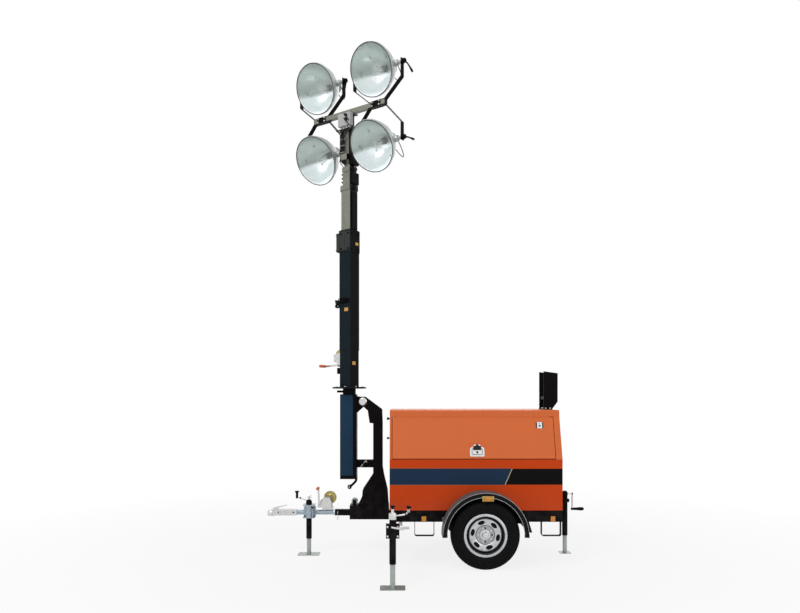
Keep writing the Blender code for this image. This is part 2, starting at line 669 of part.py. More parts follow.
def axle(root):
    """Rubber-sprung axle tube under the rails, with swing arms and stub axles."""
    axle_z = AXLE_TOP_Z - AXLE_SIDE / 2
    arm_y = (RAIL_HALF_WIDTH - 0.030, RAIL_HALF_WIDTH)
    solids = [box(middle(AXLE_X, AXLE_SIDE), (-arm_y[0], arm_y[0]), (axle_z - AXLE_SIDE / 2, AXLE_TOP_Z))]
    for side in (-1, 1):
        outline = arc((AXLE_X, axle_z), 0.0345, 80, 250, 6) + arc((WHEEL_X, TYRE_RADIUS), 0.034, -110, 60, 6)
        limits = sorted((side * (arm_y[0] - 0.004), side * arm_y[1]))
        solids.append(prism(outline, "Y", *limits))
        disc_inner = WHEEL_Y + DISC_Y - RIM_WALL
        solids.append(rod(
            (WHEEL_X, side * (arm_y[0] + 0.004), TYRE_RADIUS), (WHEEL_X, side * (disc_inner - SEAT - 0.012), TYRE_RADIUS),
            0.030, 16,
        ))
        solids.append(rod(
            (WHEEL_X, side * (disc_inner - SEAT - 0.014), TYRE_RADIUS), (WHEEL_X, side * (disc_inner - SEAT), TYRE_RADIUS),
            HUB_FLANGE_RADIUS, 20,
        ))
    node("axle", fuse(*solids), "black_paint", root)


def wheels(root):
    """Steel disc wheels with oval slots and their tyres, in one turned profile each."""
    half = TYRE_WIDTH / 2
    tyre_profile = [
        (-0.069, RIM_RADIUS + SEAT), (-0.069, 0.205), (-0.086, 0.225), (-half, 0.255), (-0.088, 0.290),
        (-0.074, 0.317), (-0.050, TYRE_RADIUS), (0.050, TYRE_RADIUS), (0.074, 0.317), (0.088, 0.290),
        (half, 0.255), (0.086, 0.225), (0.069, 0.205), (0.069, RIM_RADIUS + SEAT),
    ]
    rim_profile = [
        (-RIM_HALF_WIDTH, RIM_FLANGE_RADIUS), (-0.0695, RIM_FLANGE_RADIUS), (-0.0695, RIM_RADIUS),
        (0.0695, RIM_RADIUS), (0.0695, RIM_FLANGE_RADIUS), (RIM_HALF_WIDTH, RIM_FLANGE_RADIUS),
        (RIM_HALF_WIDTH, RIM_RADIUS - 0.006), (0.044, 0.162), (DISC_Y + 0.010, 0.140),
        (DISC_Y + 0.014, 0.100), (DISC_Y, 0.086), (DISC_Y, HUB_RADIUS), (DISC_Y + 0.042, HUB_RADIUS - 0.006),
        (DISC_Y + 0.046, 0.0), (DISC_Y - RIM_WALL, 0.0), (DISC_Y - RIM_WALL, 0.088),
        (DISC_Y + 0.006, 0.102), (DISC_Y + 0.003, 0.140), (0.034, RIM_RADIUS - 0.006),
        (-RIM_HALF_WIDTH, RIM_RADIUS - 0.006),
    ]
    for side, hand in ((-1, "left"), (1, "right")):
        centre = (WHEEL_X, side * WHEEL_Y, TYRE_RADIUS)
        spin = empty("spin_wheel_" + hand, centre, root)
        node("tyre_" + hand, turned(tyre_profile, centre, (0, side, 0), WHEEL_SIDES), "rubber", spin)
        rim = turned_wheel(rim_profile, centre, side)
        slots = []
        for count in range(WHEEL_SLOTS):
            angle = math.tau * (count + 0.5) / WHEEL_SLOTS
            outline = rounded_rectangle(0.052, 0.026, 0.0129, 2)
            slot = prism(shifted(outline, (0, 0)), "Y", -0.03, 0.03)
            slot.data.transform(
                Matrix.Translation((WHEEL_X, side * (WHEEL_Y + DISC_Y + 0.01), TYRE_RADIUS))
                @ Matrix.Rotation(angle, 4, "Y")
                @ Matrix.Translation((0, 0, SLOT_CENTRE_RADIUS))
            )
            slots.append(slot)
        node("rim_" + hand, cut(rim, *slots), "wheel_silver", spin)


def turned_wheel(profile, centre, side):
    """The rim's profile closes on itself through the hub, so it is revolved as an open line."""
    hub_front = [index for index, point in enumerate(profile) if point[1] == 0.0]
    start = hub_front[1]
    line = profile[start:] + profile[:start]
    return turned(line, centre, (0, side, 0), WHEEL_SIDES)


def fenders(root):
    """Round sheet fenders with a turned-down outer lip, flared feet and a marker lamp's seat."""
    stay_x = WHEEL_X - math.sqrt(FENDER_RADIUS ** 2 - (FENDER_STAY_Z - TYRE_RADIUS) ** 2)
    for side, hand in ((-1, "left"), (1, "right")):
        inner_y = CANOPY_HALF_WIDTH + SEAT
        section = [
            (inner_y, FENDER_RADIUS), (FENDER_OUTER_Y, FENDER_RADIUS), (FENDER_OUTER_Y, FENDER_RADIUS - FENDER_LIP),
            (FENDER_OUTER_Y - FENDER_WALL, FENDER_RADIUS - FENDER_LIP),
            (FENDER_OUTER_Y - FENDER_WALL, FENDER_RADIUS - FENDER_WALL), (inner_y, FENDER_RADIUS - FENDER_WALL),
        ]
        shape = bmesh.new()
        corners = [shape.verts.new((radius, side * y, 0.0)) for y, radius in section]
        face = shape.faces.new(corners)
        turn = math.radians(FENDER_DEG[1] - FENDER_DEG[0])
        start = Matrix.Rotation(math.radians(-FENDER_DEG[0]), 4, "Y")
        bmesh.ops.spin(
            shape, geom=[face, *face.edges, *face.verts], cent=(0, 0, 0), axis=(0, -1, 0), angle=turn, steps=20,
            use_merge=False, use_duplicate=False,
        )
        shape.transform(Matrix.Translation((WHEEL_X, 0, TYRE_RADIUS)) @ start)
        guard = as_object(shape)
        stay = box(
            middle(stay_x, 0.026),
            sorted((side * (RAIL_HALF_WIDTH + SEAT), side * (inner_y + 0.030))), middle(FENDER_STAY_Z, 0.040),
        )
        node("fender_" + hand, fuse(guard, stay), "black_paint", root)


def lean_point(share, inset=0.0):
    """A point on the leaning side between belt (0) and eaves (1), moved inwards by the inset."""
    along = Vector((EAVES_HALF_WIDTH - CANOPY_HALF_WIDTH, EAVES_Z - BELT_Z))
    inwards = Vector((-along.y, along.x)).normalized()
    place = Vector((CANOPY_HALF_WIDTH, BELT_Z)) + along * share + inwards * inset
    return (place.x, place.y)


def end_wall_outline():
    """The canopy's cross-section under the roof, with a step that reaches up inside the roof's lips."""
    tab = EAVES_HALF_WIDTH - ROOF_THICKNESS - 2 * SEAT
    right = [
        (CANOPY_HALF_WIDTH, CANOPY_BASE_Z), (CANOPY_HALF_WIDTH, BELT_Z),
        (EAVES_HALF_WIDTH, EAVES_Z - SEAT), (tab, EAVES_Z - SEAT), (tab, ROOF_Z - ROOF_THICKNESS - SEAT),
    ]
    return right + mirrored(right)


def canopy(root):
    """Steel enclosure: floor, lower side panels, end walls and a lipped roof."""
    inner_front = CANOPY_FRONT_X + FRONT_WALL + SEAT
    inner_rear = CANOPY_REAR_X - REAR_WALL - SEAT
    floor_y = CANOPY_HALF_WIDTH - WALL - SEAT
    floor = box((inner_front, inner_rear), (-floor_y, floor_y), (CANOPY_BASE_Z, CANOPY_BASE_Z + FLOOR_THICKNESS))
    node("canopy_floor", floor, "black_paint", root)

    for side, hand in ((-1, "left"), (1, "right")):
        outline = [
            (CANOPY_HALF_WIDTH, CANOPY_BASE_Z), (CANOPY_HALF_WIDTH, BELT_Z - DOOR_GAP / 2),
            (CANOPY_HALF_WIDTH - WALL - 0.015, BELT_Z - DOOR_GAP / 2), (CANOPY_HALF_WIDTH - WALL - 0.015, BELT_Z - 0.020),
            (CANOPY_HALF_WIDTH - WALL, BELT_Z - 0.030), (CANOPY_HALF_WIDTH - WALL, CANOPY_BASE_Z),
        ]
        if side < 0:
            outline = mirrored(outline)
        node("canopy_side_" + hand, prism(outline, "X", inner_front, inner_rear), "orange_paint", root)

    front = prism(end_wall_outline(), "X", CANOPY_FRONT_X, CANOPY_FRONT_X + FRONT_WALL)
    node("canopy_front", front, "orange_paint", root)

    rear = prism(end_wall_outline(), "X", CANOPY_REAR_X - REAR_WALL, CANOPY_REAR_X)
    pocket = box(
        (CANOPY_REAR_X - CONTROL_DEPTH, CANOPY_REAR_X + 0.01), (-CONTROL_HALF_WIDTH, CONTROL_HALF_WIDTH),
        (CONTROL_BOTTOM_Z, CONTROL_TOP_Z),
    )
    node("canopy_rear", cut(rear, pocket), "orange_paint", root)

    lip = EAVES_HALF_WIDTH - ROOF_THICKNESS
    half = [
        (lip, ROOF_Z - ROOF_THICKNESS), (lip, EAVES_Z), (EAVES_HALF_WIDTH, EAVES_Z),
        *arc((EAVES_HALF_WIDTH - 0.020, ROOF_Z - 0.020), 0.020, 0, 90, 3),
    ]
    node("canopy_roof", prism(half + mirrored(half), "X", CANOPY_FRONT_X, CANOPY_REAR_X), "orange_paint", root)

    long, wide, high = ENGINE_SIZE
    base = CANOPY_BASE_Z + FLOOR_THICKNESS + SEAT
    engine = box(middle(ENGINE_X, long), middle(0, wide), (base, base + high))
    node("engine_block", engine, "engine_grey", root)


def canopy_doors(root):
    """Gull-wing doors hinged under the roof's lips, and the control door in the rear wall."""
    hinge_z = EAVES_Z - SEAT - HINGE_RADIUS
    front_x = CANOPY_FRONT_X + FRONT_WALL + DOOR_GAP
    rear_x = CANOPY_REAR_X - REAR_WALL - DOOR_GAP
    top_share = 1.0 - DOOR_GAP / (EAVES_Z - BELT_Z)
    bottom_share = DOOR_GAP / (EAVES_Z - BELT_Z)
    hinge_y = lean_point(top_share, HINGE_RADIUS * 0.5)[0]
    for side, hand in ((-1, "left"), (1, "right")):
        axis = empty("hinge_door_" + hand, (LATCH_X, side * hinge_y, hinge_z), root)
        skin = [
            lean_point(bottom_share), lean_point(top_share), lean_point(top_share, WALL),
            lean_point(bottom_share, WALL),
        ]
        latch_share = (LATCH_Z - BELT_Z) / (EAVES_Z - BELT_Z)
        half_latch = LATCH_HEIGHT / 2 / (EAVES_Z - BELT_Z)
        plate = [
            lean_point(latch_share - half_latch * 0.95, -0.004), lean_point(latch_share + half_latch * 0.95, -0.004),
            lean_point(latch_share + half_latch, 0.004), lean_point(latch_share - half_latch, 0.004),
        ]
        grip = [
            lean_point(latch_share + 0.02, -0.022), lean_point(latch_share + 0.10, -0.022),
            lean_point(latch_share + 0.10, 0.002), lean_point(latch_share + 0.02, 0.002),
        ]
        if side < 0:
            skin, plate, grip = mirrored(skin), mirrored(plate), mirrored(grip)
        door = fuse(
            prism(skin, "X", front_x, rear_x),
            prism(plate, "X", *middle(LATCH_X, LATCH_WIDTH)),
            prism(grip, "X", *middle(LATCH_X, 0.070)),
            rod((front_x + 0.03, side * hinge_y, hinge_z), (rear_x - 0.03, side * hinge_y, hinge_z), HINGE_RADIUS, 12),
        )
        node("canopy_door_" + hand, door, "orange_paint", axis)

    hinge_y = -(CONTROL_HALF_WIDTH - HINGE_RADIUS - SEAT)
    hinge_x = CANOPY_REAR_X - 0.001
    axis = empty("hinge_control_door", (hinge_x, hinge_y, (CONTROL_BOTTOM_Z + CONTROL_TOP_Z) / 2), root)
    leaf = box(
        (CANOPY_REAR_X - CONTROL_DOOR_THICKNESS, CANOPY_REAR_X), (hinge_y, CONTROL_HALF_WIDTH - DOOR_GAP),
        (CONTROL_BOTTOM_Z + DOOR_GAP, CONTROL_TOP_Z - DOOR_GAP),
    )
    knuckle = rod(
        (hinge_x, hinge_y, CONTROL_BOTTOM_Z + 0.02), (hinge_x, hinge_y, CONTROL_TOP_Z - 0.02), HINGE_RADIUS, 12,
    )
    pull_y = CONTROL_HALF_WIDTH - 0.060
    pull = box((CANOPY_REAR_X - 0.002, CANOPY_REAR_X + 0.014), middle(pull_y, 0.030), middle(1.1, 0.100))
    node("control_door", fuse(leaf, knuckle, pull), "orange_paint", axis)


def mast_post(root):
    """Box column on a gusset, with two cheeks that carry the tilt pivot, and the lower stop."""
    inner = POST_HALF_WIDTH - POST_PLATE
    column_x = POST_COLUMN_X
    foot_z = DRAW_BOX_TOP_Z + SEAT
    column = box(column_x, (-inner - 0.002, inner + 0.002), (foot_z, 1.340))
    head_left = -0.052
    head_top = 0.050
    corner = arc(
        (PIVOT_X, PIVOT_Z), POST_HEAD_RADIUS,
        math.degrees(math.acos(head_left / POST_HEAD_RADIUS)), math.degrees(math.pi - math.asin(head_top / POST_HEAD_RADIUS)),
        3,
    )
    cheek = [
        *corner, (PIVOT_X + 0.020, PIVOT_Z + head_top), (column_x[1] - 0.006, 1.497), (column_x[1], 1.352),
        (column_x[1], 0.900), (-0.434, 0.817), (-0.395, 0.655), (-0.385, foot_z), (-0.700, foot_z),
        (-0.657, 0.597), (-0.652, 0.664), (-0.543, 0.828), (column_x[0], 1.352), (-0.580, 1.355),
        (-0.599, 1.483), (-0.652, 1.531), (PIVOT_X + head_left, PIVOT_Z - 0.017),
    ]
    cheeks = [prism(cheek[::-1], "Y", *sorted((side * inner, side * POST_HALF_WIDTH))) for side in (-1, 1)]
    base = box((-0.700, -0.385), (-POST_HALF_WIDTH + 0.001, POST_HALF_WIDTH - 0.001), (foot_z, foot_z + 0.012))
    slope = prism(
        [(-0.645, 0.600), (-0.639, 0.664), (-0.540, 0.815), (-0.528, 0.807), (-0.626, 0.658), (-0.632, 0.600)][::-1],
        "Y", -inner - 0.002, inner + 0.002,
    )
    stops = [
        box((HOUSING_X[1] + SEAT, column_x[0] + 0.004), middle(y, 0.012), (0.893, 0.969)) for y in (-0.040, 0.040)
    ]
    stop_pin = rod((-0.640, -0.062, 0.931), (-0.640, 0.062, 0.931), 0.009, 12)
    holes = [
        rod((PIVOT_X, side * 0.03, PIVOT_Z), (PIVOT_X, side * 0.2, PIVOT_Z), PIVOT_RADIUS + SEAT, PIVOT_SIDES)
        for side in (-1, 1)
    ]
    frame = fuse(column, *cheeks, base, slope, *stops, stop_pin)
    node("mast_post", cut(frame, *holes), "black_paint", root)

    cap_start = POST_HALF_WIDTH + SEAT
    pin = turned(
        [(-cap_start - 0.012, 0), (-cap_start - 0.012, 0.030), (-cap_start - 0.006, PIVOT_CAP_RADIUS),
         (-cap_start, PIVOT_CAP_RADIUS), (-cap_start, PIVOT_RADIUS), (cap_start, PIVOT_RADIUS),
         (cap_start, PIVOT_CAP_RADIUS), (cap_start + 0.006, PIVOT_CAP_RADIUS), (cap_start + 0.012, 0.030),
         (cap_start + 0.012, 0)],
        (PIVOT_X, 0, PIVOT_Z), (0, 1, 0), PIVOT_SIDES,
    )
    node("mast_pivot_pin", pin, "bright_zinc", root)


def mast_base(tilt):
    """Folded base housing with its pivot ears, neck and cable hook; it tilts about the pivot."""
    shell = box(HOUSING_X, middle(0, 2 * HOUSING_HALF_WIDTH), HOUSING_Z)
    hollow = box(
        (HOUSING_X[0] + HOUSING_WALL, HOUSING_X[1] - HOUSING_WALL),
        middle(0, 2 * (HOUSING_HALF_WIDTH - HOUSING_WALL)), (HOUSING_Z[0] - 0.01, HOUSING_Z[1] - 0.020),
    )
    ears = []
    for side in (-1, 1):
        outline = [(HOUSING_X[1] - 0.004, PIVOT_Z - 0.120), (HOUSING_X[1] - 0.004, PIVOT_Z + 0.055)]
        outline += arc((PIVOT_X, PIVOT_Z), EAR_RADIUS, 80, -70, 10)
        limits = sorted((side * EAR_HALF_WIDTH, side * (EAR_HALF_WIDTH - EAR_PLATE)))
        ears.append(prism(outline, "Y", *limits))
    neck = rod((MAST_X, 0, HOUSING_Z[1] - 0.004), (MAST_X, 0, TURNTABLE_Z - SEAT), NECK_RADIUS, 24)
    knobs = [
        rod((MAST_X - 0.050, y, 1.681), (MAST_X - 0.125, y, 1.681), 0.011, 10) for y in (-0.030, 0.030)
    ]
    hook = prism(
        [(-0.730, 0.790), (-0.716, 0.790), (-0.716, 0.740), (-0.770, 0.690), (-0.790, 0.676), (-0.800, 0.690),
         (-0.780, 0.700), (-0.730, 0.748)][::-1],
        "Y", -0.010, 0.010,
    )
    turning_radius = (PIVOT_RADIUS + SEAT) / math.cos(math.pi / PIVOT_SIDES)
    hole = rod((PIVOT_X, -0.1, PIVOT_Z), (PIVOT_X, 0.1, PIVOT_Z), turning_radius, PIVOT_SIDES)
    housing = fuse(cut(shell, hollow), *ears, neck, *knobs, hook)
    node("mast_base", cut(housing, hole), "blue_paint", tilt)


def square_tube(side, wall, low, high):
    """A square tube about the mast's own axis, open at both ends."""
    outer = box(middle(0, side), middle(0, side), (low, high))
    inner = box(middle(0, side - 2 * wall), middle(0, side - 2 * wall), (low - 0.01, high + 0.01))
    return cut(outer, inner)


def slide_pad(outer_side, inner_side, low, high):
    """A ring of slide pads fixed in a section's mouth round the section inside it."""
    bore = inner_side + 2 * SEAT
    ring = box(middle(0, outer_side), middle(0, outer_side), (low, high))
    return cut(ring, box(middle(0, bore), middle(0, bore), (low - 0.01, high + 0.01)))


def mast_section_1(turn, frame):
    """Turntable, outer tube with its wear plates, collar, bracket and boxes on the far face."""
    side = MAST_SIDES[0]
    half = side / 2
    low, top = MAST_BOTTOMS[0], MAST_TOPS[0]
    tube = square_tube(side, MAST_WALL, low, top)
    plate = turned(
        [(0, 0), (0, TURNTABLE_RADIUS), (TURNTABLE_THICKNESS, TURNTABLE_RADIUS), (TURNTABLE_THICKNESS, 0)],
        (0, 0, TURNTABLE_Z), (0, 0, 1), 28,
    )
    collar = square_tube(side + 2 * COLLAR_WALL, COLLAR_WALL + 0.001, top - COLLAR_LENGTH, top - 0.001)
    wear = square_tube(side + 0.006, 0.004, *WEAR_PLATE_Z)
    pad = slide_pad(side - 2 * MAST_WALL + 0.002, MAST_SIDES[1], top - PAD_LENGTH, top + 0.006)
    wide = half + COLLAR_WALL
    collar_box = box((-wide - 0.055, -wide + 0.002), middle(0, 0.110), (top - 0.215, top - 0.020))
    bracket_outline = [
        (-half + 0.002, 0.0), (-half - 0.090, 0.030), (-half - 0.104, 0.080), (-half - 0.096, 0.086),
        (-half - 0.080, 0.042), (-half + 0.002, 0.024),
    ]
    loop = prism(shifted(bracket_outline[::-1], (0, MAST_LOOP_Z)), "Y", -0.030, 0.030)
    lower_box = box((-half - 0.060, -half + 0.002), middle(0, 0.090), LOWER_BOX_Z)
    stub = box(middle(0, 0.050), middle(0, 0.050), (TURNTABLE_Z + 0.010, TURNTABLE_Z + 0.038))
    solids = fuse(plate, tube, wear, collar, pad, collar_box, loop, lower_box, stub)
    node("mast_section_1", solids, "black_paint", turn, frame)


def winch(place):
    """Hand winch with its drum along Y: side plates, drum, gear disc, and a crank with a grip."""
    x, y, z = place
    sides = []
    for shift in (-0.045, 0.041):
        outline = shifted(
            [(-0.095, 0.001), (0.050, 0.001), (0.050, 0.050), (0.030, 0.106), (-0.040, 0.106), (-0.052, 0.062),
             (-0.095, 0.055)], (x, z),
        )
        sides.append(prism(outline, "Y", y + shift, y + shift + 0.004))
    base = box((x - 0.098, x + 0.070), (y - 0.044, y + 0.044), (z, z + 0.005))
    drum = turned(
        [(0, 0), (0, 0.026), (0.088, 0.026), (0.088, 0)], (x - 0.005, y - 0.044, z + 0.055), (0, 1, 0), 12,
    )
    gear = turned(
        [(0, 0), (0, 0.030), (0.002, 0.068), (0.012, 0.068), (0.014, 0.030), (0.014, 0)],
        (x + 0.026, y + 0.044, z + 0.096), (0, 1, 0), 18,
    )
    shaft_x, shaft_z = x - 0.078, z + 0.032
    shaft = rod((shaft_x, y - 0.060, shaft_z), (shaft_x, y + 0.043, shaft_z), 0.008, 10)
    arm_end = (x - 0.086, y - 0.064, z + WINCH_ARM_REACH)
    arm = rod((shaft_x, y - 0.064, shaft_z), arm_end, 0.007, 8)
    knuckle = rod((shaft_x, y - 0.074, shaft_z), (shaft_x, y - 0.054, shaft_z), 0.014, 10)
    grip = rod(
        (arm_end[0], y - 0.058, arm_end[2]), (arm_end[0], y - 0.150, arm_end[2]), GRIP_RADIUS + 0.002, 12,
    )
    return fuse(base, *sides, drum, gear, shaft, arm, knuckle, grip)


def inner_sections(slides, frame):
    """The sections that slide out: tubes with slide pads, a top band, pulley lugs and wear strips."""
    for index in (1, 2, 3):
        side = MAST_SIDES[index]
        low, top = MAST_BOTTOMS[index], MAST_TOPS[index]
        solids = [square_tube(side, MAST_WALL, low, top)]
        if index < 3:
            pad_low = top - PAD_LENGTH
            solids.append(slide_pad(side - 2 * MAST_WALL + 0.002, MAST_SIDES[index + 1], pad_low, top + 0.005))
            solids.append(square_tube(side + 0.012, 0.007, top - 0.050, top - 0.001))
            lug_x = side / 2 + 0.004
            solids.append(box((lug_x - 0.006, lug_x + 0.040), middle(0, 0.034), (top - 0.044, top - 0.010)))
        else:
            solids += head_fittings(side)
        node(f"mast_section_{index + 1}", fuse(*solids), "zinc", slides[index], frame)


def head_fittings(side):
    """Head bracket, crossbar and its seat plate on the innermost section."""
    top = MAST_TOPS[3]
    bar = box((-BAR_HALF_LENGTH, BAR_HALF_LENGTH), middle(0, BAR_SIDE), middle(BAR_Z, BAR_SIDE))
    plate = box(middle(0, 0.150), middle(0, 0.110), (top - 0.004, top + 0.004))
    band = square_tube(side + 0.020, 0.0101, 4.060, 4.160)
    clip = box(middle(0, 0.080), (-side / 2 - 0.050, -side / 2 + 0.002), (4.080, 4.140))
    return [bar, plate, band, clip]


def socket_plate(body, frame):
    """Flat connection box on the front of the head, with four round plugs on its lower edge."""
    front = -MAST_SIDES[3] / 2 - SEAT
    case = box(middle(0, 0.160), (front - 0.050, front), (4.430, MAST_TOPS[3] - 0.006))
    plugs = [
        rod((x, front - 0.026, 4.440), (x, front - 0.026, 4.385), 0.013, 12)
        for x in (-0.054, -0.018, 0.018, 0.054)
    ]
    node("socket_box", fuse(case, *plugs), "socket_white", body, frame)


def strip(points, wall, low, high):
    """A flat bar bent along points of the (x, z) plane, between two limits on Y."""
    half = wall / 2
    left, right = [], []
    for index, point in enumerate(points):
        here = Vector(point)
        before = (here - Vector(points[index - 1])).normalized() if index else None
        after = (Vector(points[index + 1]) - here).normalized() if index + 1 < len(points) else None
        along = ((before or after) + (after or before)).normalized()
        normal = Vector((-along.y, along.x))
        reach = half / max(0.3, abs(along.dot(after or before)))
        left.append(tuple(here + normal * reach))
        right.append(tuple(here - normal * reach))
    return prism(left + right[::-1], "Y", low, high)


def yokes(body, frame):
    """Two V yokes of bent flat bar at each end of the crossbar, one up and one down, clamped together."""
    half_width = YOKE_WIDTH / 2
    bar_half = BAR_SIDE / 2
    span = YOKE_HALF_SPAN
    for side, hand in ((-1, "left"), (1, "right")):
        centre = side * LAMP_OFFSET
        solids = []
        for way, lamp_z in ((1, UPPER_LAMP_Z), (-1, LOWER_LAMP_Z)):
            seat_z = BAR_Z + way * (bar_half + SEAT + YOKE_WALL / 2)
            knee_z = lamp_z - way * YOKE_STRAIGHT
            tip_z = lamp_z + way * YOKE_TIP
            route = [
                (centre - span, tip_z), (centre - span, knee_z), (centre - YOKE_HALF_BASE, seat_z),
                (centre + YOKE_HALF_BASE, seat_z), (centre + span, knee_z), (centre + span, tip_z),
            ]
            solids.append(strip(route, YOKE_WALL, -half_width, half_width))
        clamp_z = middle(BAR_Z, BAR_SIDE + 2 * SEAT + 2 * YOKE_WALL - 0.002)
        for y in (-1, 1):
            limits = sorted((y * (bar_half + SEAT), y * (bar_half + SEAT + 0.006)))
            solids.append(box(middle(centre - side * 0.010, 0.120), limits, clamp_z))
        node("lamp_yokes_" + hand, fuse(*solids), "black_paint", body, frame)


LAMPS = (
    # name, side along the crossbar, height of the tilt axis, degrees that it looks down
    ("upper_left", -1, UPPER_LAMP_Z, UPPER_LAMP_DIP_DEG),
    ("upper_right", 1, UPPER_LAMP_Z, UPPER_LAMP_DIP_DEG),
    ("lower_left", -1, LOWER_LAMP_Z, LOWER_LAMP_DIP_DEG),
    ("lower_right", 1, LOWER_LAMP_Z, LOWER_LAMP_DIP_DEG),
)


def lamps(body, frame):
    """Spun reflectors with their bulbs and front glasses, each on trunnions in its yoke."""
    rim = LAMP_RIM_AHEAD
    wall = LAMP_WALL
    outside = [
        (-LAMP_NECK_END, 0.0), (-LAMP_NECK_END, 0.040), (-LAMP_NECK_END + 0.015, LAMP_NECK_RADIUS),
        (-0.155, LAMP_NECK_RADIUS), (-0.140, 0.075), (-0.105, 0.130), (-0.050, 0.185), (0.020, 0.228),
        (rim - 0.030, 0.249), (rim - 0.028, LAMP_RADIUS), (rim, LAMP_RADIUS),
    ]
    inside = [
        (rim, 0.250), (rim - 0.010, 0.250), (rim - 0.010, 0.243), (0.022, 0.228 - wall), (-0.048, 0.185 - wall),
        (-0.102, 0.130 - wall), (-0.136, 0.070), (-0.136, 0.024), (-0.070, 0.024), (-0.025, BULB_RADIUS),
        (0.025, BULB_RADIUS), (0.056, 0.0),
    ]
    glass = [
        (rim - 0.010 + SEAT, 0.0), (rim - 0.010 + SEAT, 0.250 - SEAT),
        (rim - 0.010 + SEAT + GLASS_THICKNESS, 0.250 - SEAT), (rim - 0.010 + SEAT + GLASS_THICKNESS, 0.0),
    ]
    arm_face = YOKE_HALF_SPAN - YOKE_WALL / 2 - SEAT
    for name, side, z, dip in LAMPS:
        centre = Vector((side * LAMP_OFFSET, 0.0, z))
        ahead = (0, -math.cos(math.radians(dip)), -math.sin(math.radians(dip)))
        axis = empty("tilt_lamp_" + name, frame.matrix_world @ centre, body, MAST_TURN_DEG)
        trunnions = [
            rod(centre + Vector((way * 0.205, 0, 0)), centre + Vector((way * end, 0, 0)), radius, 14)
            for way in (-1, 1)
            for end, radius in ((arm_face, TRUNNION_RADIUS), (TRUNNION_BOSS_END, TRUNNION_BOSS_RADIUS))
        ]
        shell = turned(outside + inside, centre, ahead, LAMP_SIDES)
        node("lamp_" + name, fuse(shell, *trunnions), "zinc", axis, frame)
        node("lamp_glass_" + name, turned(glass, centre, ahead, LAMP_SIDES), "glass", axis, frame)


def mast_rest(root):
    """Cradle on the roof's rear edge that the mast lies in when it is folded back."""
    foot_z = ROOF_Z + SEAT
    half = REST_HALF_GAP + REST_PLATE
    cheek = [
        (REST_X[0], foot_z), (CANOPY_REAR_X, foot_z), (REST_X[1], foot_z + 0.080), (REST_X[1], REST_TOP_Z - 0.020),
        (REST_X[0], REST_TOP_Z),
    ]
    solids = [box((REST_X[0], CANOPY_REAR_X), (-half - 0.030, half + 0.030), (foot_z, foot_z + REST_PLATE))]
    for side in (-1, 1):
        limits = sorted((side * REST_HALF_GAP, side * half))
        solids.append(prism(cheek[::-1], "Y", *limits))
    saddle_z = (REST_SADDLE_Z - 0.030, REST_SADDLE_Z)
    solids.append(box((REST_X[0] + 0.010, REST_X[1] - 0.010), (-REST_HALF_GAP - 0.002, REST_HALF_GAP + 0.002), saddle_z))
    node("mast_rest", fuse(*solids), "black_paint", root)


def build():
    clear_scene()
    root = empty("light_tower", (0, 0, 0))
    chassis(root)
    drawbar(root)
    coupling(root)
    jacks(root)
    outriggers(root)
    axle(root)
    wheels(root)
    fenders(root)
    canopy(root)
    canopy_doors(root)
    mast_post(root)
    mast_rest(root)
    node("drawbar_winch", drawbar_winch(), "yellow_zinc", root)

    tilt = empty("hinge_mast_tilt", (PIVOT_X, 0, PIVOT_Z), root)
    mast_base(tilt)
    turn = empty("hinge_mast_turn", (MAST_X, 0, TURNTABLE_Z), tilt, MAST_TURN_DEG)
    frame = empty("mast_frame", (MAST_X, 0, 0), turn, MAST_TURN_DEG)
    mast_section_1(turn, frame)
    node("mast_winch", mast_winch(), "yellow_zinc", turn, frame)
    slides = [turn]
    for index in (1, 2, 3):
        slides.append(empty(f"slide_section_{index + 1}", (MAST_X, 0, MAST_TOPS[index - 1]), slides[-1], MAST_TURN_DEG))
    inner_sections(slides, frame)
    socket_plate(slides[3], frame)
    yokes(slides[3], frame)
    lamps(slides[3], frame)


def drawbar_winch():
    """The raising winch on its pedestal over the drawbar tube."""
    pedestal = box(
        (WINCH_X - 0.050, WINCH_X + 0.060), (-0.022, 0.022),
        (DRAW_TUBE_Z + DRAW_TUBE_RADIUS + SEAT, WINCH_BASE_Z + 0.003),
    )
    return fuse(pedestal, winch((WINCH_X, 0, WINCH_BASE_Z)))


def mast_winch():
    """The hoisting winch, the drawbar's type, upright on the outer section's far face."""
    made = winch((0, 0, 0))
    stand = Matrix.Rotation(math.radians(-90.0), 4, "Y")
    face = -MAST_SIDES[0] / 2 - SEAT
    made.data.transform(Matrix.Translation((face, 0, MAST_WINCH_Z)) @ stand)
    return made


build()
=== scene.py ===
"""Looks of the towed light tower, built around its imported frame. Metres, the frame's own axes."""

import itertools
import json
import math

import bmesh
import bpy
import numpy as np
from mathutils import Matrix, Vector

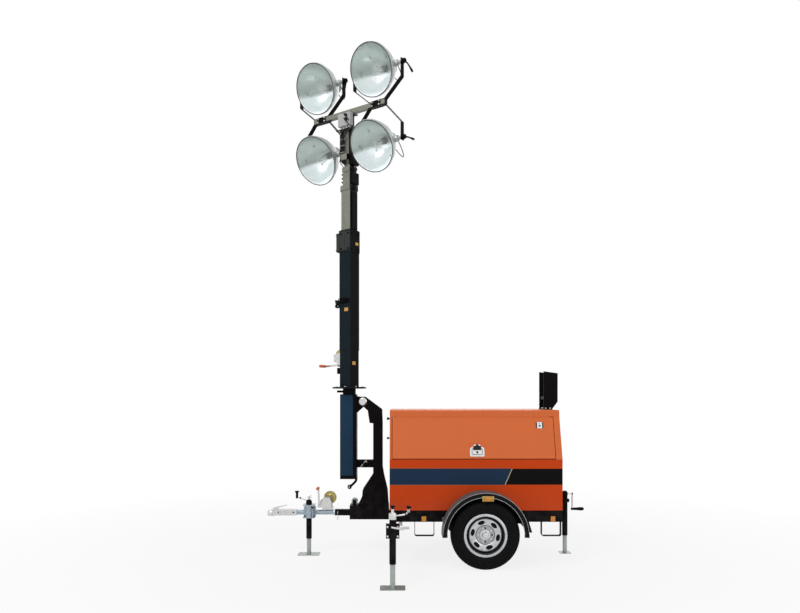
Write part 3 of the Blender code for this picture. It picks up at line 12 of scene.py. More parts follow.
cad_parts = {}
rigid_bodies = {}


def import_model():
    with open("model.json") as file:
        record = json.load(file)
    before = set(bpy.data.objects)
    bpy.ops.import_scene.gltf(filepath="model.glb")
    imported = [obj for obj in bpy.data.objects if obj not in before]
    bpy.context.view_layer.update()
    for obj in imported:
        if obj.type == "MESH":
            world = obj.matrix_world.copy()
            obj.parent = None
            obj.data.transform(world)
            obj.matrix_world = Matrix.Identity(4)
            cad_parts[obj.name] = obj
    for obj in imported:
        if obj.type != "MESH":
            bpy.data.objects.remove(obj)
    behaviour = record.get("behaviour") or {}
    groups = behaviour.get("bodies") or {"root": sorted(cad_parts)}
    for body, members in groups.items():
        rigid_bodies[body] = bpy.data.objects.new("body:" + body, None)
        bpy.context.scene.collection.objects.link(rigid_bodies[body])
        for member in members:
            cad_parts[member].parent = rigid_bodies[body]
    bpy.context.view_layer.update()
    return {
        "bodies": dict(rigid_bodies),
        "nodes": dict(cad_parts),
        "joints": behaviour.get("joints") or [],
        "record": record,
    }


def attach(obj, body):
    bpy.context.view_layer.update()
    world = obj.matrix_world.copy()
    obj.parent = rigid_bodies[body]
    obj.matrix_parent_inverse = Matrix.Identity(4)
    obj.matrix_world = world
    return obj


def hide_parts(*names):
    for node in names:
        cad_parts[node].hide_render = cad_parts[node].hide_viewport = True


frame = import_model()
nodes = frame["nodes"]
scene = bpy.context.scene
scene.view_settings.view_transform = "Standard"

# The photographer's place: level with the mast's lower part and square to the tower's side,
# with the lens shifted up so that the mast stays upright in the picture.
CAMERA_PLACE = (-0.266, -7.4, 1.603)
CAMERA_LENS = 31.9
CAMERA_SHIFT = 0.1156

camera_data = bpy.data.cameras.new("camera")
camera_data.lens = CAMERA_LENS
camera_data.shift_y = CAMERA_SHIFT
camera = bpy.data.objects.new("camera", camera_data)
camera.location = CAMERA_PLACE
camera.rotation_euler = (math.radians(90), 0, 0)
scene.collection.objects.link(camera)
scene.camera = camera


# Shader maths as plain expressions: a Wire is one output socket, and an operator on it adds the
# Math node that works it out. A Finish is a material in the making, and shade() ends it.
class Wire:
    def __init__(self, tree, socket):
        self.tree = tree
        self.socket = socket

    def node(self, kind, inputs=(), output=0, **settings):
        return add_node(self.tree, kind, inputs, output, **settings)

    def math(self, operation, *values):
        return self.node("ShaderNodeMath", [self, *values], operation=operation)

    def __add__(self, other):
        return self.math("ADD", other)

    def __radd__(self, other):
        return self.math("ADD", other)

    def __sub__(self, other):
        return self.math("SUBTRACT", other)

    def __rsub__(self, other):
        return self.node("ShaderNodeMath", [other, self], operation="SUBTRACT")

    def __mul__(self, other):
        return self.math("MULTIPLY", other)

    def __rmul__(self, other):
        return self.math("MULTIPLY", other)

    def __truediv__(self, other):
        return self.math("DIVIDE", other)

    def __pow__(self, other):
        return self.math("POWER", other)

    def above(self, edge, soft=0.0006):
        """0 below the edge and 1 above it, with a soft step of that width."""
        return ((self - edge) / soft + 0.5).clamp()

    def below(self, edge, soft=0.0006):
        return 1 - self.above(edge, soft)

    def clamp(self):
        return self.node("ShaderNodeClamp", [self])

    def size(self):
        return self.math("ABSOLUTE")

    def least(self, other):
        return self.math("MINIMUM", other)

    def most(self, other):
        return self.math("MAXIMUM", other)

    def mix(self, low, high):
        """A colour between two, by this value as the share of the second."""
        return self.node("ShaderNodeMix", {0: self, 6: low, 7: high}, output=2, data_type="RGBA")


def add_node(tree, kind, inputs=(), output=0, **settings):
    """One node of that type: its settings first, then the values or wires of its sockets."""
    made = tree.nodes.new(kind)
    for name, value in settings.items():
        setattr(made, name, value)
    pairs = inputs.items() if isinstance(inputs, dict) else enumerate(inputs)
    for key, value in pairs:
        if isinstance(value, Wire):
            tree.links.new(value.socket, made.inputs[key])
        else:
            if isinstance(value, tuple) and len(value) == 3 and made.inputs[key].type == "RGBA":
                value = (*value, 1.0)
            made.inputs[key].default_value = value
    return Wire(tree, made.outputs[output])


class Finish:
    """A material in the making, with its places and the noises that its wear is drawn from."""

    def __init__(self, name):
        self.material = bpy.data.materials.new(name)
        self.material.use_nodes = True
        self.tree = self.material.node_tree
        self.tree.nodes.clear()
        self.place = add_node(self.tree, "ShaderNodeTexCoord", output=3)
        apart = self.tree.nodes.new("ShaderNodeSeparateXYZ")
        self.tree.links.new(self.place.socket, apart.inputs[0])
        self.x, self.y, self.z = [Wire(self.tree, apart.outputs[index]) for index in range(3)]

    def noise(self, scale, detail=4.0, stretch=None):
        """Fractal noise about 0.5 on the object's own coordinates, scale in cells a metre."""
        place = self.place
        if stretch:
            place = add_node(self.tree, "ShaderNodeMapping", {0: place, 3: stretch})
        return add_node(self.tree, "ShaderNodeTexNoise", {"Vector": place, "Scale": scale, "Detail": detail})

    def grains(self, scale, output=0):
        """Random cells, scale in cells a metre; output 0 is the distance, 1 the cell's colour."""
        return add_node(self.tree, "ShaderNodeTexVoronoi", {"Vector": self.place, "Scale": scale}, output)

    def bump(self, height, distance, strength=1.0):
        inputs = {"Height": height, "Distance": distance, "Strength": strength}
        return add_node(self.tree, "ShaderNodeBump", inputs)

    def chips(self, share, scale):
        """Small sparse scuffs where a fine noise and a coarse one are both high."""
        coarse = (self.noise(scale * 0.12, 2.0) - share).clamp() * 6
        return (coarse * (self.noise(scale) - 0.62).clamp() * 8).clamp()

    def shade(self, color, roughness, metallic=0.0, normal=None, **fixed):
        """Ends the finish: one surface shader, its changing sockets and its fixed values."""
        inputs = {"Base Color": color, "Roughness": roughness, "Metallic": metallic}
        if normal is not None:
            inputs["Normal"] = normal
        inputs.update(fixed)
        surface = add_node(self.tree, "ShaderNodeBsdfPrincipled", inputs)
        end = self.tree.nodes.new("ShaderNodeOutputMaterial")
        self.tree.links.new(surface.socket, end.inputs[0])
        return self.material


# The studio: a pale floor that keeps the tower's shadow and turns to white for the camera, and three
# large soft lamps, the strongest from the front left as on the orange panels in the photograph.
FLOOR_SIDE = 400.0
SOFT_LAMPS = (
    # name, place, size, power in watts
    ("key_lamp", (-4.0, -6.5, 9.5), 5.0, 420.0),
    ("fill_lamp", (6.5, -6.0, 4.5), 5.0, 120.0),
    ("back_lamp", (2.0, 7.0, 7.0), 5.0, 200.0),
)
WORLD_LIGHT = 0.36
FLOOR_SHADE = (2.2, 6.0)
NEAR_WHITE = 0.84
FLOOR_Z = -0.001
LAMPS_AIM = Vector((0.0, 0.0, 1.8))

studio = Finish("studio_floor")
shown = add_node(studio.tree, "ShaderNodeLightPath", output=0)
mirrored = add_node(studio.tree, "ShaderNodeLightPath", output=3)
soft_floor = add_node(studio.tree, "ShaderNodeBsdfDiffuse", {"Color": (0.86, 0.86, 0.86)})
white_floor = add_node(studio.tree, "ShaderNodeEmission", {"Color": (1.0, 1.0, 1.0), "Strength": 1.0})
reach = (studio.x * studio.x + studio.y * studio.y) ** 0.5
open_floor = ((reach - FLOOR_SHADE[0]) / (FLOOR_SHADE[1] - FLOOR_SHADE[0])).clamp()
white_share = shown.most(mirrored) * (open_floor * (1.0 - NEAR_WHITE) + NEAR_WHITE)
floor_mix = add_node(studio.tree, "ShaderNodeMixShader", {0: white_share, 1: soft_floor, 2: white_floor})
floor_end = studio.tree.nodes.new("ShaderNodeOutputMaterial")
studio.tree.links.new(floor_mix.socket, floor_end.inputs[0])

floor_mesh = bpy.data.meshes.new("studio_floor")
floor_corners = [(x * FLOOR_SIDE / 2, y * FLOOR_SIDE / 2, FLOOR_Z)
                 for x, y in ((-1, -1), (1, -1), (1, 1), (-1, 1))]
floor_mesh.from_pydata(floor_corners, [], [(0, 1, 2, 3)])
floor_mesh.materials.append(studio.material)
floor = bpy.data.objects.new("studio_floor", floor_mesh)
scene.collection.objects.link(floor)

world = bpy.data.worlds.new("studio_world")
world.use_nodes = True
scene.world = world
sky = world.node_tree
sky.nodes.clear()
sky_ray = add_node(sky, "ShaderNodeLightPath", output=0)
sky_gloss = add_node(sky, "ShaderNodeLightPath", output=3)
sky_through = add_node(sky, "ShaderNodeLightPath", output=6)
sky_white = sky_ray.most(sky_gloss).most(sky_through)
sky_light = add_node(sky, "ShaderNodeBackground",
                     {0: (1.0, 1.0, 1.0), 1: sky_white * (1.0 - WORLD_LIGHT) + WORLD_LIGHT})
sky_end = sky.nodes.new("ShaderNodeOutputWorld")
sky.links.new(sky_light.socket, sky_end.inputs[0])

for lamp_name, place, size, power in SOFT_LAMPS:
    lamp_data = bpy.data.lights.new(lamp_name, "AREA")
    lamp_data.size = size
    lamp_data.energy = power
    lamp = bpy.data.objects.new(lamp_name, lamp_data)
    lamp.location = place
    lamp.rotation_euler = (LAMPS_AIM - Vector(place)).to_track_quat("-Z", "Y").to_euler()
    scene.collection.objects.link(lamp)


# Painted sheet: two coats of satin orange over pressed steel, with road dust low down and bare edges at the
# corners; above the belt the orange is painted paler, as painted light from the sky on the upward-leaning
# panels; the side carries a navy band that turns black behind a slanted pale line.
ORANGE = (0.66, 0.066, 0.0085)
# Paler oranges above the belt: painted light from the sky on the upward-leaning upper panels.
SKYLIT_ORANGE = (0.81, 0.195, 0.064)
SKYLIT_ORANGE_DARK = (0.77, 0.172, 0.054)
SKYLIT_Z = 1.022
NAVY = (0.015, 0.036, 0.078)
BAND_BLACK = (0.0012, 0.0011, 0.0016)
BORDER_TAN = (0.25, 0.13, 0.08)
PALE_LINE = (0.66, 0.58, 0.36)
BAND_Z = (0.781, 0.934)
BAND_EDGE = 0.005
SLANT_X = (0.743, 0.81)
DUST = (0.3, 0.27, 0.23)
SIDE_Y = 0.59


def orange_finish(name, banded=False):
    """Orange paint, painted paler above the belt as painted sky light; banded adds the side band with its
    slanted end.
    """
    made = Finish(name)
    patches = made.noise(3.0)
    color = (patches * 0.5).mix(ORANGE, tuple(part * 1.1 for part in ORANGE))
    skylit = (patches * 0.6 + 0.2).mix(SKYLIT_ORANGE, SKYLIT_ORANGE_DARK)
    # painted light: above the belt the panels turn to the paler orange
    color = made.z.above(SKYLIT_Z, 0.003).mix(color, skylit)
    if banded:
        side = made.y.size().above(SIDE_Y, 0.002)
        border = side * made.z.above(BAND_Z[0] - BAND_EDGE) * made.z.below(BAND_Z[1] + BAND_EDGE)
        inner = side * made.z.above(BAND_Z[0]) * made.z.below(BAND_Z[1])
        share = (made.z - BAND_Z[0]) / (BAND_Z[1] - BAND_Z[0])
        slant = made.x - share * (SLANT_X[1] - SLANT_X[0]) - SLANT_X[0]
        color = (border * slant.below(0.0)).mix(color, BORDER_TAN)
        color = inner.mix(color, slant.above(0.0).mix(NAVY, BAND_BLACK))
        pale = inner * slant.above(-0.0035) * slant.below(0.0035)
        color = pale.mix(color, PALE_LINE)
    dust = ((0.75 - made.z) * 1.4).clamp() * (made.noise(9.0) - 0.35).clamp()
    color = (dust * 0.8).mix(color, DUST)
    color = made.chips(0.6, 130.0).mix(color, (0.2, 0.1, 0.07))
    roughness = patches * 0.12 + dust * 0.4 + 0.26
    peel = made.bump(made.noise(160.0, 1.0), 0.0001, 0.1)
    return made.shade(color, roughness, normal=peel, **{"Coat Weight": 0.02, "Specular IOR Level": 0.07})


def repaint(material, *names):
    """Gives CAD nodes their finish."""
    for name in names:
        mesh = nodes[name].data
        mesh.materials.clear()
        mesh.materials.append(material)


repaint(orange_finish("orange_panels", banded=True), "canopy_side_left", "canopy_side_right", "canopy_front",
        "canopy_rear")
orange_shell = orange_finish("orange_shell")
repaint(orange_shell, "canopy_roof", "canopy_door_left", "canopy_door_right", "control_door")

# Chassis, outer mast and brackets: black enamel sprayed over steel, satin, grey with dust where it
# lies flat or low and bare at worn corners.
ENAMEL = (0.0034, 0.0026, 0.0031)
MAST_X = -0.795
MAST_FRONT = np.array((-0.58779, -0.80902, 0.0))
MAST_RIGHT = np.array((0.80902, -0.58779, 0.0))


def enamel_finish(name, color, gloss=0.34, panel=None, front=None):
    """Satin enamel, black but for the panel, a span (x, x, z, z), or past front, the mast's front face."""
    made = Finish(name)
    patches = made.noise(7.0)
    dust = ((0.9 - made.z) * 0.5).clamp() * (made.noise(14.0) - 0.38).clamp()
    tint = (patches * 0.6).mix(color, tuple(part * 1.6 for part in color))
    if panel is not None:
        inside = (made.x.above(panel[0], 0.001) * made.x.below(panel[1], 0.001)
                  * made.z.above(panel[2], 0.001) * made.z.below(panel[3], 0.001))
        tint = inside.mix(ENAMEL, tint)
    # painted light: the mast's front face keeps the lighter tint, the other faces stay black
    if front is not None:
        frontwards = (made.x - MAST_X) * MAST_FRONT[0] + made.y * MAST_FRONT[1]
        tint = frontwards.above(front, 0.001).mix(ENAMEL, tint)
    tint = (dust * 0.9).mix(tint, (0.22, 0.2, 0.18))
    tint = made.chips(0.56, 110.0).mix(tint, (0.15, 0.145, 0.14))
    peel = made.bump(made.noise(160.0, 1.0), 0.0001, 0.12)
    return made.shade(tint, patches * 0.16 + dust * 0.5 + gloss, normal=peel, **{"Specular IOR Level": 0.05})


black_enamel = enamel_finish("black_enamel", ENAMEL)
repaint(black_enamel, "chassis_ladder", "chassis_rail_left", "chassis_rail_right", "canopy_floor", "drawbar",
        "fender_left", "fender_right", "axle", "front_jack_outer", "rear_jack_outer", "outrigger_sleeves",
        "outrigger_left_beam", "outrigger_right_beam", "outrigger_left_outer", "outrigger_right_outer",
        "mast_post", "mast_rest", "lamp_yokes_left", "lamp_yokes_right")

# The outer mast section is welded steel tube in the same black enamel; its front face, which carries its
# wear plate, is painted a lighter blue-black than its other faces, as painted light where it faces the
# light.
repaint(enamel_finish("blue_black_enamel", (0.0095, 0.0165, 0.0215), 0.34, front=0.0695), "mast_section_1")

# The mast's tilting base is folded plate: navy as the side band on its broad faces, black along its
# folded edges and on the pivot ears, neck and hook.
BASE_PANEL = (-0.878, -0.7525, 0.812, 1.644)
repaint(enamel_finish("navy_enamel", (0.014, 0.042, 0.08), 0.3, BASE_PANEL), "mast_base")


# Zinc on steel: hot-dip galvanising with its frosty spangle on tubes and feet, bright electroplate on
# the coupling and drawbar tube, and yellow passivated plate, whose film shifts in tint, on the winches.
# Painted shade: the inner mast sections' right faces are painted near black below the crossbar.
RIGHT_FACE_SHADE = (0.01, 0.008, 0.009)
RIGHT_FACE_SHADE_TOP = 4.563
MAST_ZINC = (0.235, 0.245, 0.2)
RIGHT_FACE_SHADE_PAST = {2: 0.0585, 3: 0.0475, 4: 0.0365}


def spangled_finish(name, color, contrast, metallic, roughness, cells, right_face_shade_past=None):
    """Zinc with its spangle; past the given reach from the mast's axis a face is painted near black, as
    painted shade.
    """
    made = Finish(name)
    tone = add_node(made.tree, "ShaderNodeSeparateColor", [made.grains(cells, 1)])
    dull = made.noise(12.0)
    shares = (1 - contrast, 1 + contrast)
    darker, paler = [tuple(min(1.0, part * share) for part in color) for share in shares]
    tint = ((dull - 0.45).clamp() * 0.9).mix(tone.mix(darker, paler), tuple(part * 0.62 for part in color))
    if right_face_shade_past is not None:
        # painted shade on the right face, up to the crossbar
        rightwards = (made.x - MAST_X) * MAST_RIGHT[0] + made.y * MAST_RIGHT[1]
        tint = (rightwards.above(right_face_shade_past, 0.001) * made.z.below(RIGHT_FACE_SHADE_TOP, 0.001)).mix(tint, RIGHT_FACE_SHADE)
    return made.shade(tint, tone * 0.14 + dull * 0.18 + roughness, metallic,
                      normal=made.bump(made.noise(160.0), 0.0003, 0.3))


galvanised = spangled_finish("galvanised", (0.4, 0.44, 0.41), 0.14, 0.75, 0.28, 95.0)
for number, face in RIGHT_FACE_SHADE_PAST.items():
    mast_zinc = spangled_finish(f"galvanised_mast_{number}", MAST_ZINC, 0.16, 0.55, 0.34, 95.0, face)
    repaint(mast_zinc, f"mast_section_{number}")
bright_plate = spangled_finish("bright_plate", (0.66, 0.67, 0.66), 0.05, 0.92, 0.16, 160.0)
repaint(galvanised, "front_jack_leg", "rear_jack_leg", "outrigger_left_leg", "outrigger_right_leg",
        "cable_roller")
repaint(bright_plate, "tow_coupling", "mast_pivot_pin")

passivated = Finish("yellow_passivated")
film = passivated.noise(26.0)
olive = ((film - 0.35) * 2.2).clamp().mix((0.42, 0.33, 0.1), (0.52, 0.48, 0.2))
rosy = ((passivated.noise(41.0) - 0.55) * 3).clamp().mix(olive, (0.46, 0.27, 0.2))
yellow_plate = passivated.shade(rosy, film * 0.2 + 0.22, 0.85, normal=passivated.bump(film, 0.0003, 0.3))
repaint(yellow_plate, "drawbar_winch", "mast_winch")


# The engine behind the doors: grey sprayed castings with oil film and dust. The connection box under
# the crossbar: weathered pale plastic with a fine moulded grain.
def mottled(name, scales, colors, roughness, metallic=0.0, grain=None, **fixed):
    """A finish that drifts between two colours, and in roughness by (span, least); scales are those of the
    two noises, and grain is the scale, detail, distance and strength of its bump."""
    made = Finish(name)
    normal = made.bump(made.noise(*grain[:2]), *grain[2:]) if grain else None
    span, least = roughness
    color = made.noise(scales[0]).mix(*colors)
    return made.shade(color, made.noise(scales[1]) * span + least, metallic, normal, **fixed)


repaint(mottled("engine_grey", (11.0, 11.0), ((0.1, 0.11, 0.12), (0.035, 0.033, 0.03)), (0.3, 0.4),
                grain=(90.0, 4.0, 0.001, 0.5)), "engine_block")
repaint(mottled("pale_moulded", (18.0, 18.0), ((0.6, 0.61, 0.6), (0.42, 0.43, 0.42)), (0.15, 0.45),
                grain=(600.0, 2.0, 0.0002, 0.5)), "socket_box")


# Wheels: 26-sided in the frame, turned smooth here. A revolved piece is a profile of (across, radius)
# points carried round its axis; the whole grid is worked out as arrays.
WHEEL_PLACE = (0.535, 0.7045, 0.325)
AROUND = 144
SOFT_ANGLE = 40.0
CRISP = 30.0
DOUBLES = 0.00002


def add_piece(name, shape, material, body, replaced=(), smooth_angle=SOFT_ANGLE):
    """Puts points and faces into a mesh, repairs its doubles and normals, and hangs it on its body."""
    points, faces = shape
    mesh = bpy.data.meshes.new(name)
    mesh.from_pydata(np.asarray(points, float).reshape(-1, 3).tolist(), [], [list(face) for face in faces])
    mesh.materials.append(material)
    piece = bpy.data.objects.new(name, mesh)
    scene.collection.objects.link(piece)
    cleaned = bmesh.new()
    cleaned.from_mesh(mesh)
    bmesh.ops.remove_doubles(cleaned, verts=cleaned.verts, dist=DOUBLES)
    bmesh.ops.recalc_face_normals(cleaned, faces=cleaned.faces)
    cleaned.to_mesh(mesh)
    cleaned.free()
    mesh.shade_smooth()
    mesh.set_sharp_from_angle(angle=math.radians(smooth_angle))
    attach(piece, body)
    if replaced:
        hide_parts(*replaced)
    return piece


def grid_faces(rows, columns, closed_rows=False, closed_columns=False):
    """Four-sided faces of a grid of rows by columns, joined end to end where a direction is closed."""
    row = np.arange(rows if closed_rows else rows - 1)
    column = np.arange(columns if closed_columns else columns - 1)
    first, second = np.meshgrid(row, column, indexing="ij")
    first, second = first.ravel(), second.ravel()
    below, right = (first + 1) % rows, (second + 1) % columns
    return np.stack([first * columns + second, below * columns + second, below * columns + right,
                     first * columns + right], axis=1)


def axes_about(direction):
    """Two unit vectors square to the direction and to each other."""
    along = np.asarray(direction, float)
    along = along / np.linalg.norm(along)
    helper = np.array([0.0, 0.0, 1.0]) if abs(along[2]) < 0.9 else np.array([1.0, 0.0, 0.0])
    first = np.cross(helper, along)
    first = first / np.linalg.norm(first)
    return along, first, np.cross(along, first)


def ring_ways(turn, first, second):
    """Unit directions at those turns, in the plane of two vectors."""
    return np.cos(turn)[..., None] * first + np.sin(turn)[..., None] * second


def capped(points, rows, columns):
    """Rings of points as a closed shape: the faces between the rings, and the first and last ring filled."""
    faces = [tuple(face) for face in grid_faces(rows, columns, closed_columns=True)]
    faces += [tuple(range(columns)), tuple(range((rows - 1) * columns, rows * columns))]
    return np.reshape(points, (-1, 3)), faces


def revolve(profile, centre, direction, around=AROUND):
    """Centre plus across times the axis plus radius times (cos, sin) of the turn, for each profile point."""
    along, first, second = axes_about(direction)
    profile = np.asarray(profile, float)
    ring = ring_ways(np.linspace(0.0, math.tau, around, endpoint=False), first, second)
    points = np.asarray(centre, float) + profile[:, 0, None, None] * along + profile[:, 1, None, None] * ring
    return points.reshape(-1, 3), grid_faces(len(profile), around, closed_columns=True)


def joined(*parts):
    """Several (points, faces) as one, each part's faces numbered after the last."""
    points, faces, count = [], [], 0
    for part_points, part_faces in parts:
        part_points = np.asarray(part_points, float).reshape(-1, 3)
        points.append(part_points)
        faces += [tuple(int(corner) + count for corner in face) for face in part_faces]
        count += len(part_points)
    return np.concatenate(points), faces


# Tyres: black carbon-filled rubber, moulded in one with four grooves round the tread, slanted cuts
# through its shoulders and fine rings on the wall; dust lies in random patches.
TYRE_AROUND = 384
TYRE_GROOVES = (-0.042, -0.015, 0.015, 0.042)
TREAD_HALF = 0.07
CROWN_RADIUS = 0.3185
CROWN_RISE = 0.0065
GROOVE_HALF = 0.0028
GROOVE_DEPTH = 0.0075
SHOULDER_DEPTH = 0.0055
MIDDLE_DEPTH = 0.004
WALL_RING = 0.0012
SHOULDER_CUTS = 64
TYRE_LINE = [
    (-0.069, 0.1803), (-0.07, 0.196), (-0.0735, 0.206), (-0.08, 0.213), (-0.0865, 0.226), (-0.0905, 0.241),
    (-0.0925, 0.255), (-0.0915, 0.27), (-0.0885, 0.286), (-0.0835, 0.301), (-0.077, 0.3125), (-0.07, 0.3185),
]


def smooth_line(points, count):
    """A smooth curve of count points through the given ones, a cubic on each span."""
    points = np.asarray(points, float)
    padded = np.vstack([2 * points[0] - points[1], points, 2 * points[-1] - points[-2]])
    spot = np.linspace(0, len(points) - 1, count)
    span = np.minimum(spot.astype(int), len(points) - 2)
    share = (spot - span)[:, None]
    a, b, c, d = (padded[span + step] for step in range(4))
    return 0.5 * (2 * b + (c - a) * share + (2 * a - 5 * b + 4 * c - d) * share ** 2
                  + (3 * b - a - 3 * c + d) * share ** 3)


def tyre_shape(centre, side):
    """Wall rings and tread round the wheel; the tread's radius drops in its grooves and shoulder cuts."""
    wall = smooth_line(TYRE_LINE, 34)
    across = np.linspace(-TREAD_HALF, TREAD_HALF, 57)[1:-1]
    crown = CROWN_RADIUS + CROWN_RISE * (1 - (across / TREAD_HALF) ** 4)
    line = np.vstack([wall, np.stack([across, crown], axis=1), wall[::-1] * (-1, 1)])
    turn = np.linspace(0, math.tau, TYRE_AROUND, endpoint=False)
    x, radius = np.broadcast_arrays(line[:, 0, None], np.ones_like(turn)[None, :] * line[:, 1, None])
    groove = np.zeros_like(radius)
    for place in TYRE_GROOVES:
        groove = np.maximum(groove, np.clip(1.6 - np.abs(x - place) / GROOVE_HALF, 0, 1))
    cells = turn[None, :] * SHOULDER_CUTS / math.tau
    shoulder = ((cells + np.abs(x) * 22.0) % 1.0 < 0.24) * (np.abs(x) > 0.046) * (radius > 0.3)
    middle = ((cells - x * 30.0) % 1.0 < 0.14) * (np.abs(x) < 0.04) * (radius > 0.31)
    cut = np.maximum(groove * GROOVE_DEPTH, np.maximum(shoulder * SHOULDER_DEPTH, middle * MIDDLE_DEPTH))
    ringed = (np.abs(((radius - 0.232) / 0.022) % 1.0 - 0.5) < 0.07) * (radius < 0.288) * (radius > 0.225)
    x = x + np.sign(x) * WALL_RING * ringed
    along, first, second = axes_about((0, side, 0))
    out = ring_ways(turn, first, second)
    points = np.asarray(centre) + x[..., None] * along + (radius - cut)[..., None] * out
    return points.reshape(-1, 3), grid_faces(len(line), TYRE_AROUND, closed_rows=True, closed_columns=True)


rubber = Finish("tyre_rubber")
rubber_dust = rubber.noise(24.0)
rubber_color = ((rubber_dust - 0.5).clamp() * 1.6).mix((0.0042, 0.0038, 0.004), (0.022, 0.02, 0.019))
tyre_rubber = rubber.shade(rubber_color, rubber_dust * 0.2 + 0.62, **{"Specular IOR Level": 0.09},
                           normal=rubber.bump(rubber.noise(260.0), 0.0003, 0.3))

# Rims: pressed steel disc in silver lacquer, riveted into a rolled well with bright bead seats; six oval
# holes show the drum behind, and five nuts and four studs stand round a shallow hub cap.
SLOT_COUNT = 6
SLOT_TURN = math.radians(-12.0)
SLOT_SIZE = (0.0335, 0.019)
SLOT_RING = 0.121
WELL_LINE = [
    (0.074, 0.202), (0.0725, 0.2038), (0.07, 0.203), (0.069, 0.199), (0.069, 0.18), (0.064, 0.177),
    (0.04, 0.1745), (0.02, 0.166), (-0.03, 0.166), (-0.048, 0.1745), (-0.069, 0.179), (-0.07, 0.202),
    (-0.074, 0.202), (-0.074, 0.1755), (-0.05, 0.17), (-0.03, 0.1615), (0.02, 0.1615), (0.042, 0.17),
    (0.065, 0.1735), (0.074, 0.178),
]
DISC_LINE = [
    (0.018, 0.1612), (0.029, 0.16), (0.038, 0.154), (0.043, 0.146), (0.044, 0.135), (0.043, 0.12),
    (0.04, 0.105), (0.035, 0.094), (0.03, 0.086), (0.03, 0.07), (0.03, 0.048),
]
HUB_LINE = [
    (0.026, 0.0), (0.026, 0.0482), (0.0335, 0.0475), (0.035, 0.044), (0.035, 0.033), (0.038, 0.031),
    (0.06, 0.0295), (0.0665, 0.026), (0.07, 0.015), (0.0705, 0.0),
]
DRUM_LINE = [(0.028, 0.0), (0.028, 0.145), (0.023, 0.15), (-0.05, 0.15), (-0.05, 0.0)]
# Radii of the painted shade in the rim's well and in the disc's crease round the hub.
WELL_SHADE_SPAN = (0.158, 0.1805)
CREASE_SHADE_SPAN = (0.085, 0.0915)
NUTS_START = math.pi / 2 + 0.3
SIDES = ((-1, "left"), (1, "right"))


def slotted_disc(centre, side, around=300, rows=64):
    """The disc's profile round the axis, with oval holes whose edge is drawn to the oval."""
    line = smooth_line(DISC_LINE, rows)
    turn = np.linspace(0, math.tau, around, endpoint=False)
    radius = np.broadcast_to(line[:, 1, None], (rows, around)).ravel().copy()
    angle = np.broadcast_to(turn[None, :], (rows, around)).ravel().copy()
    pitch = math.tau / SLOT_COUNT
    nearest = np.round((angle - SLOT_TURN) / pitch) * pitch + SLOT_TURN
    sideways = radius * np.sin(angle - nearest)
    outwards = radius * np.cos(angle - nearest) - SLOT_RING
    reach = np.hypot(sideways / SLOT_SIZE[0], outwards / SLOT_SIZE[1])
    faces = grid_faces(rows, around, closed_columns=True)
    inside = reach[faces].mean(axis=1) < 1.0
    kept = faces[~inside]
    border = np.intersect1d(np.unique(faces[inside]), np.unique(kept))
    pulled_side = sideways[border] / reach[border]
    pulled_out = outwards[border] / reach[border] + SLOT_RING
    radius[border] = np.hypot(pulled_side, pulled_out)
    angle[border] = nearest[border] + np.arctan2(pulled_side, pulled_out)
    order = np.argsort(line[:, 1])
    across = np.interp(radius, line[order, 1], line[order, 0])
    along, first, second = axes_about((0, side, 0))
    out = ring_ways(angle, first, second)
    return np.asarray(centre) + across[:, None] * along + radius[:, None] * out, kept


def hex_nut(centre, direction, width, height, start=0.0):
    """A six-sided prism with a domed end, as rings of six points along its axis."""
    along, first, second = axes_about(direction)
    levels = np.array([(0.0, 1.0), (height * 0.8, 1.0), (height, 0.82)])
    reach = width / 2 / math.cos(math.pi / 6)
    ring = ring_ways(np.arange(6) * math.tau / 6 + start, first, second) * reach
    points = np.asarray(centre, float) + levels[:, 0, None, None] * along + levels[:, 1, None, None] * ring
    return capped(points, 3, 6)


def nut_circle(centre, side, count, ring, across, size, start=0.0):
    """Nuts of that width and height on a circle round the wheel's axis."""
    nuts = []
    for turn in math.tau * np.arange(count) / count + start:
        x, z = ring * math.cos(turn), ring * math.sin(turn)
        place = (centre[0] + x, centre[1] + side * across, centre[2] + z)
        nuts.append(hex_nut(place, (0, side, 0), *size, turn))
    return nuts


lacquer = Finish("silver_lacquer")
streak = lacquer.noise(17.0)
brake_dust = ((lacquer.noise(30.0) - 0.48).clamp() * 1.5).clamp()
hub_x, hub_z = lacquer.x - WHEEL_PLACE[0], lacquer.z - WHEEL_PLACE[2]
from_hub = (hub_x * hub_x + hub_z * hub_z) ** 0.5
# Painted shade: near black in the well and in the crease round the hub, and darker on the disc inside that
# crease.
well_painted_shade = from_hub.above(WELL_SHADE_SPAN[0], 0.002) * from_hub.below(WELL_SHADE_SPAN[1], 0.002)
crease_painted_shade = from_hub.above(CREASE_SHADE_SPAN[0], 0.002) * from_hub.below(CREASE_SHADE_SPAN[1], 0.002)
hub_painted_shade = from_hub.below(CREASE_SHADE_SPAN[0], 0.004) * (lacquer.noise(42.0) * 0.7 + 0.1)
lacquer_color = brake_dust.mix(streak.mix((0.54, 0.56, 0.58), (0.63, 0.65, 0.67)), (0.25, 0.24, 0.23))
lacquer_color = hub_painted_shade.clamp().mix(lacquer_color, (0.16, 0.175, 0.19))
lacquer_color = (well_painted_shade * 0.94 + crease_painted_shade * 0.85).clamp().mix(lacquer_color, (0.012, 0.013, 0.016))
silver_lacquer = lacquer.shade(lacquer_color, streak * 0.15 + 0.24, 0.72,
                               normal=lacquer.bump(lacquer.noise(240.0), 0.0002, 0.2))
drum_iron = mottled("brake_drum_iron", (24.0, 24.0), ((0.006, 0.006, 0.006), (0.02, 0.014, 0.01)),
                    (0.2, 0.62), grain=(150.0, 4.0, 0.0004, 0.4), **{"Specular IOR Level": 0.15})

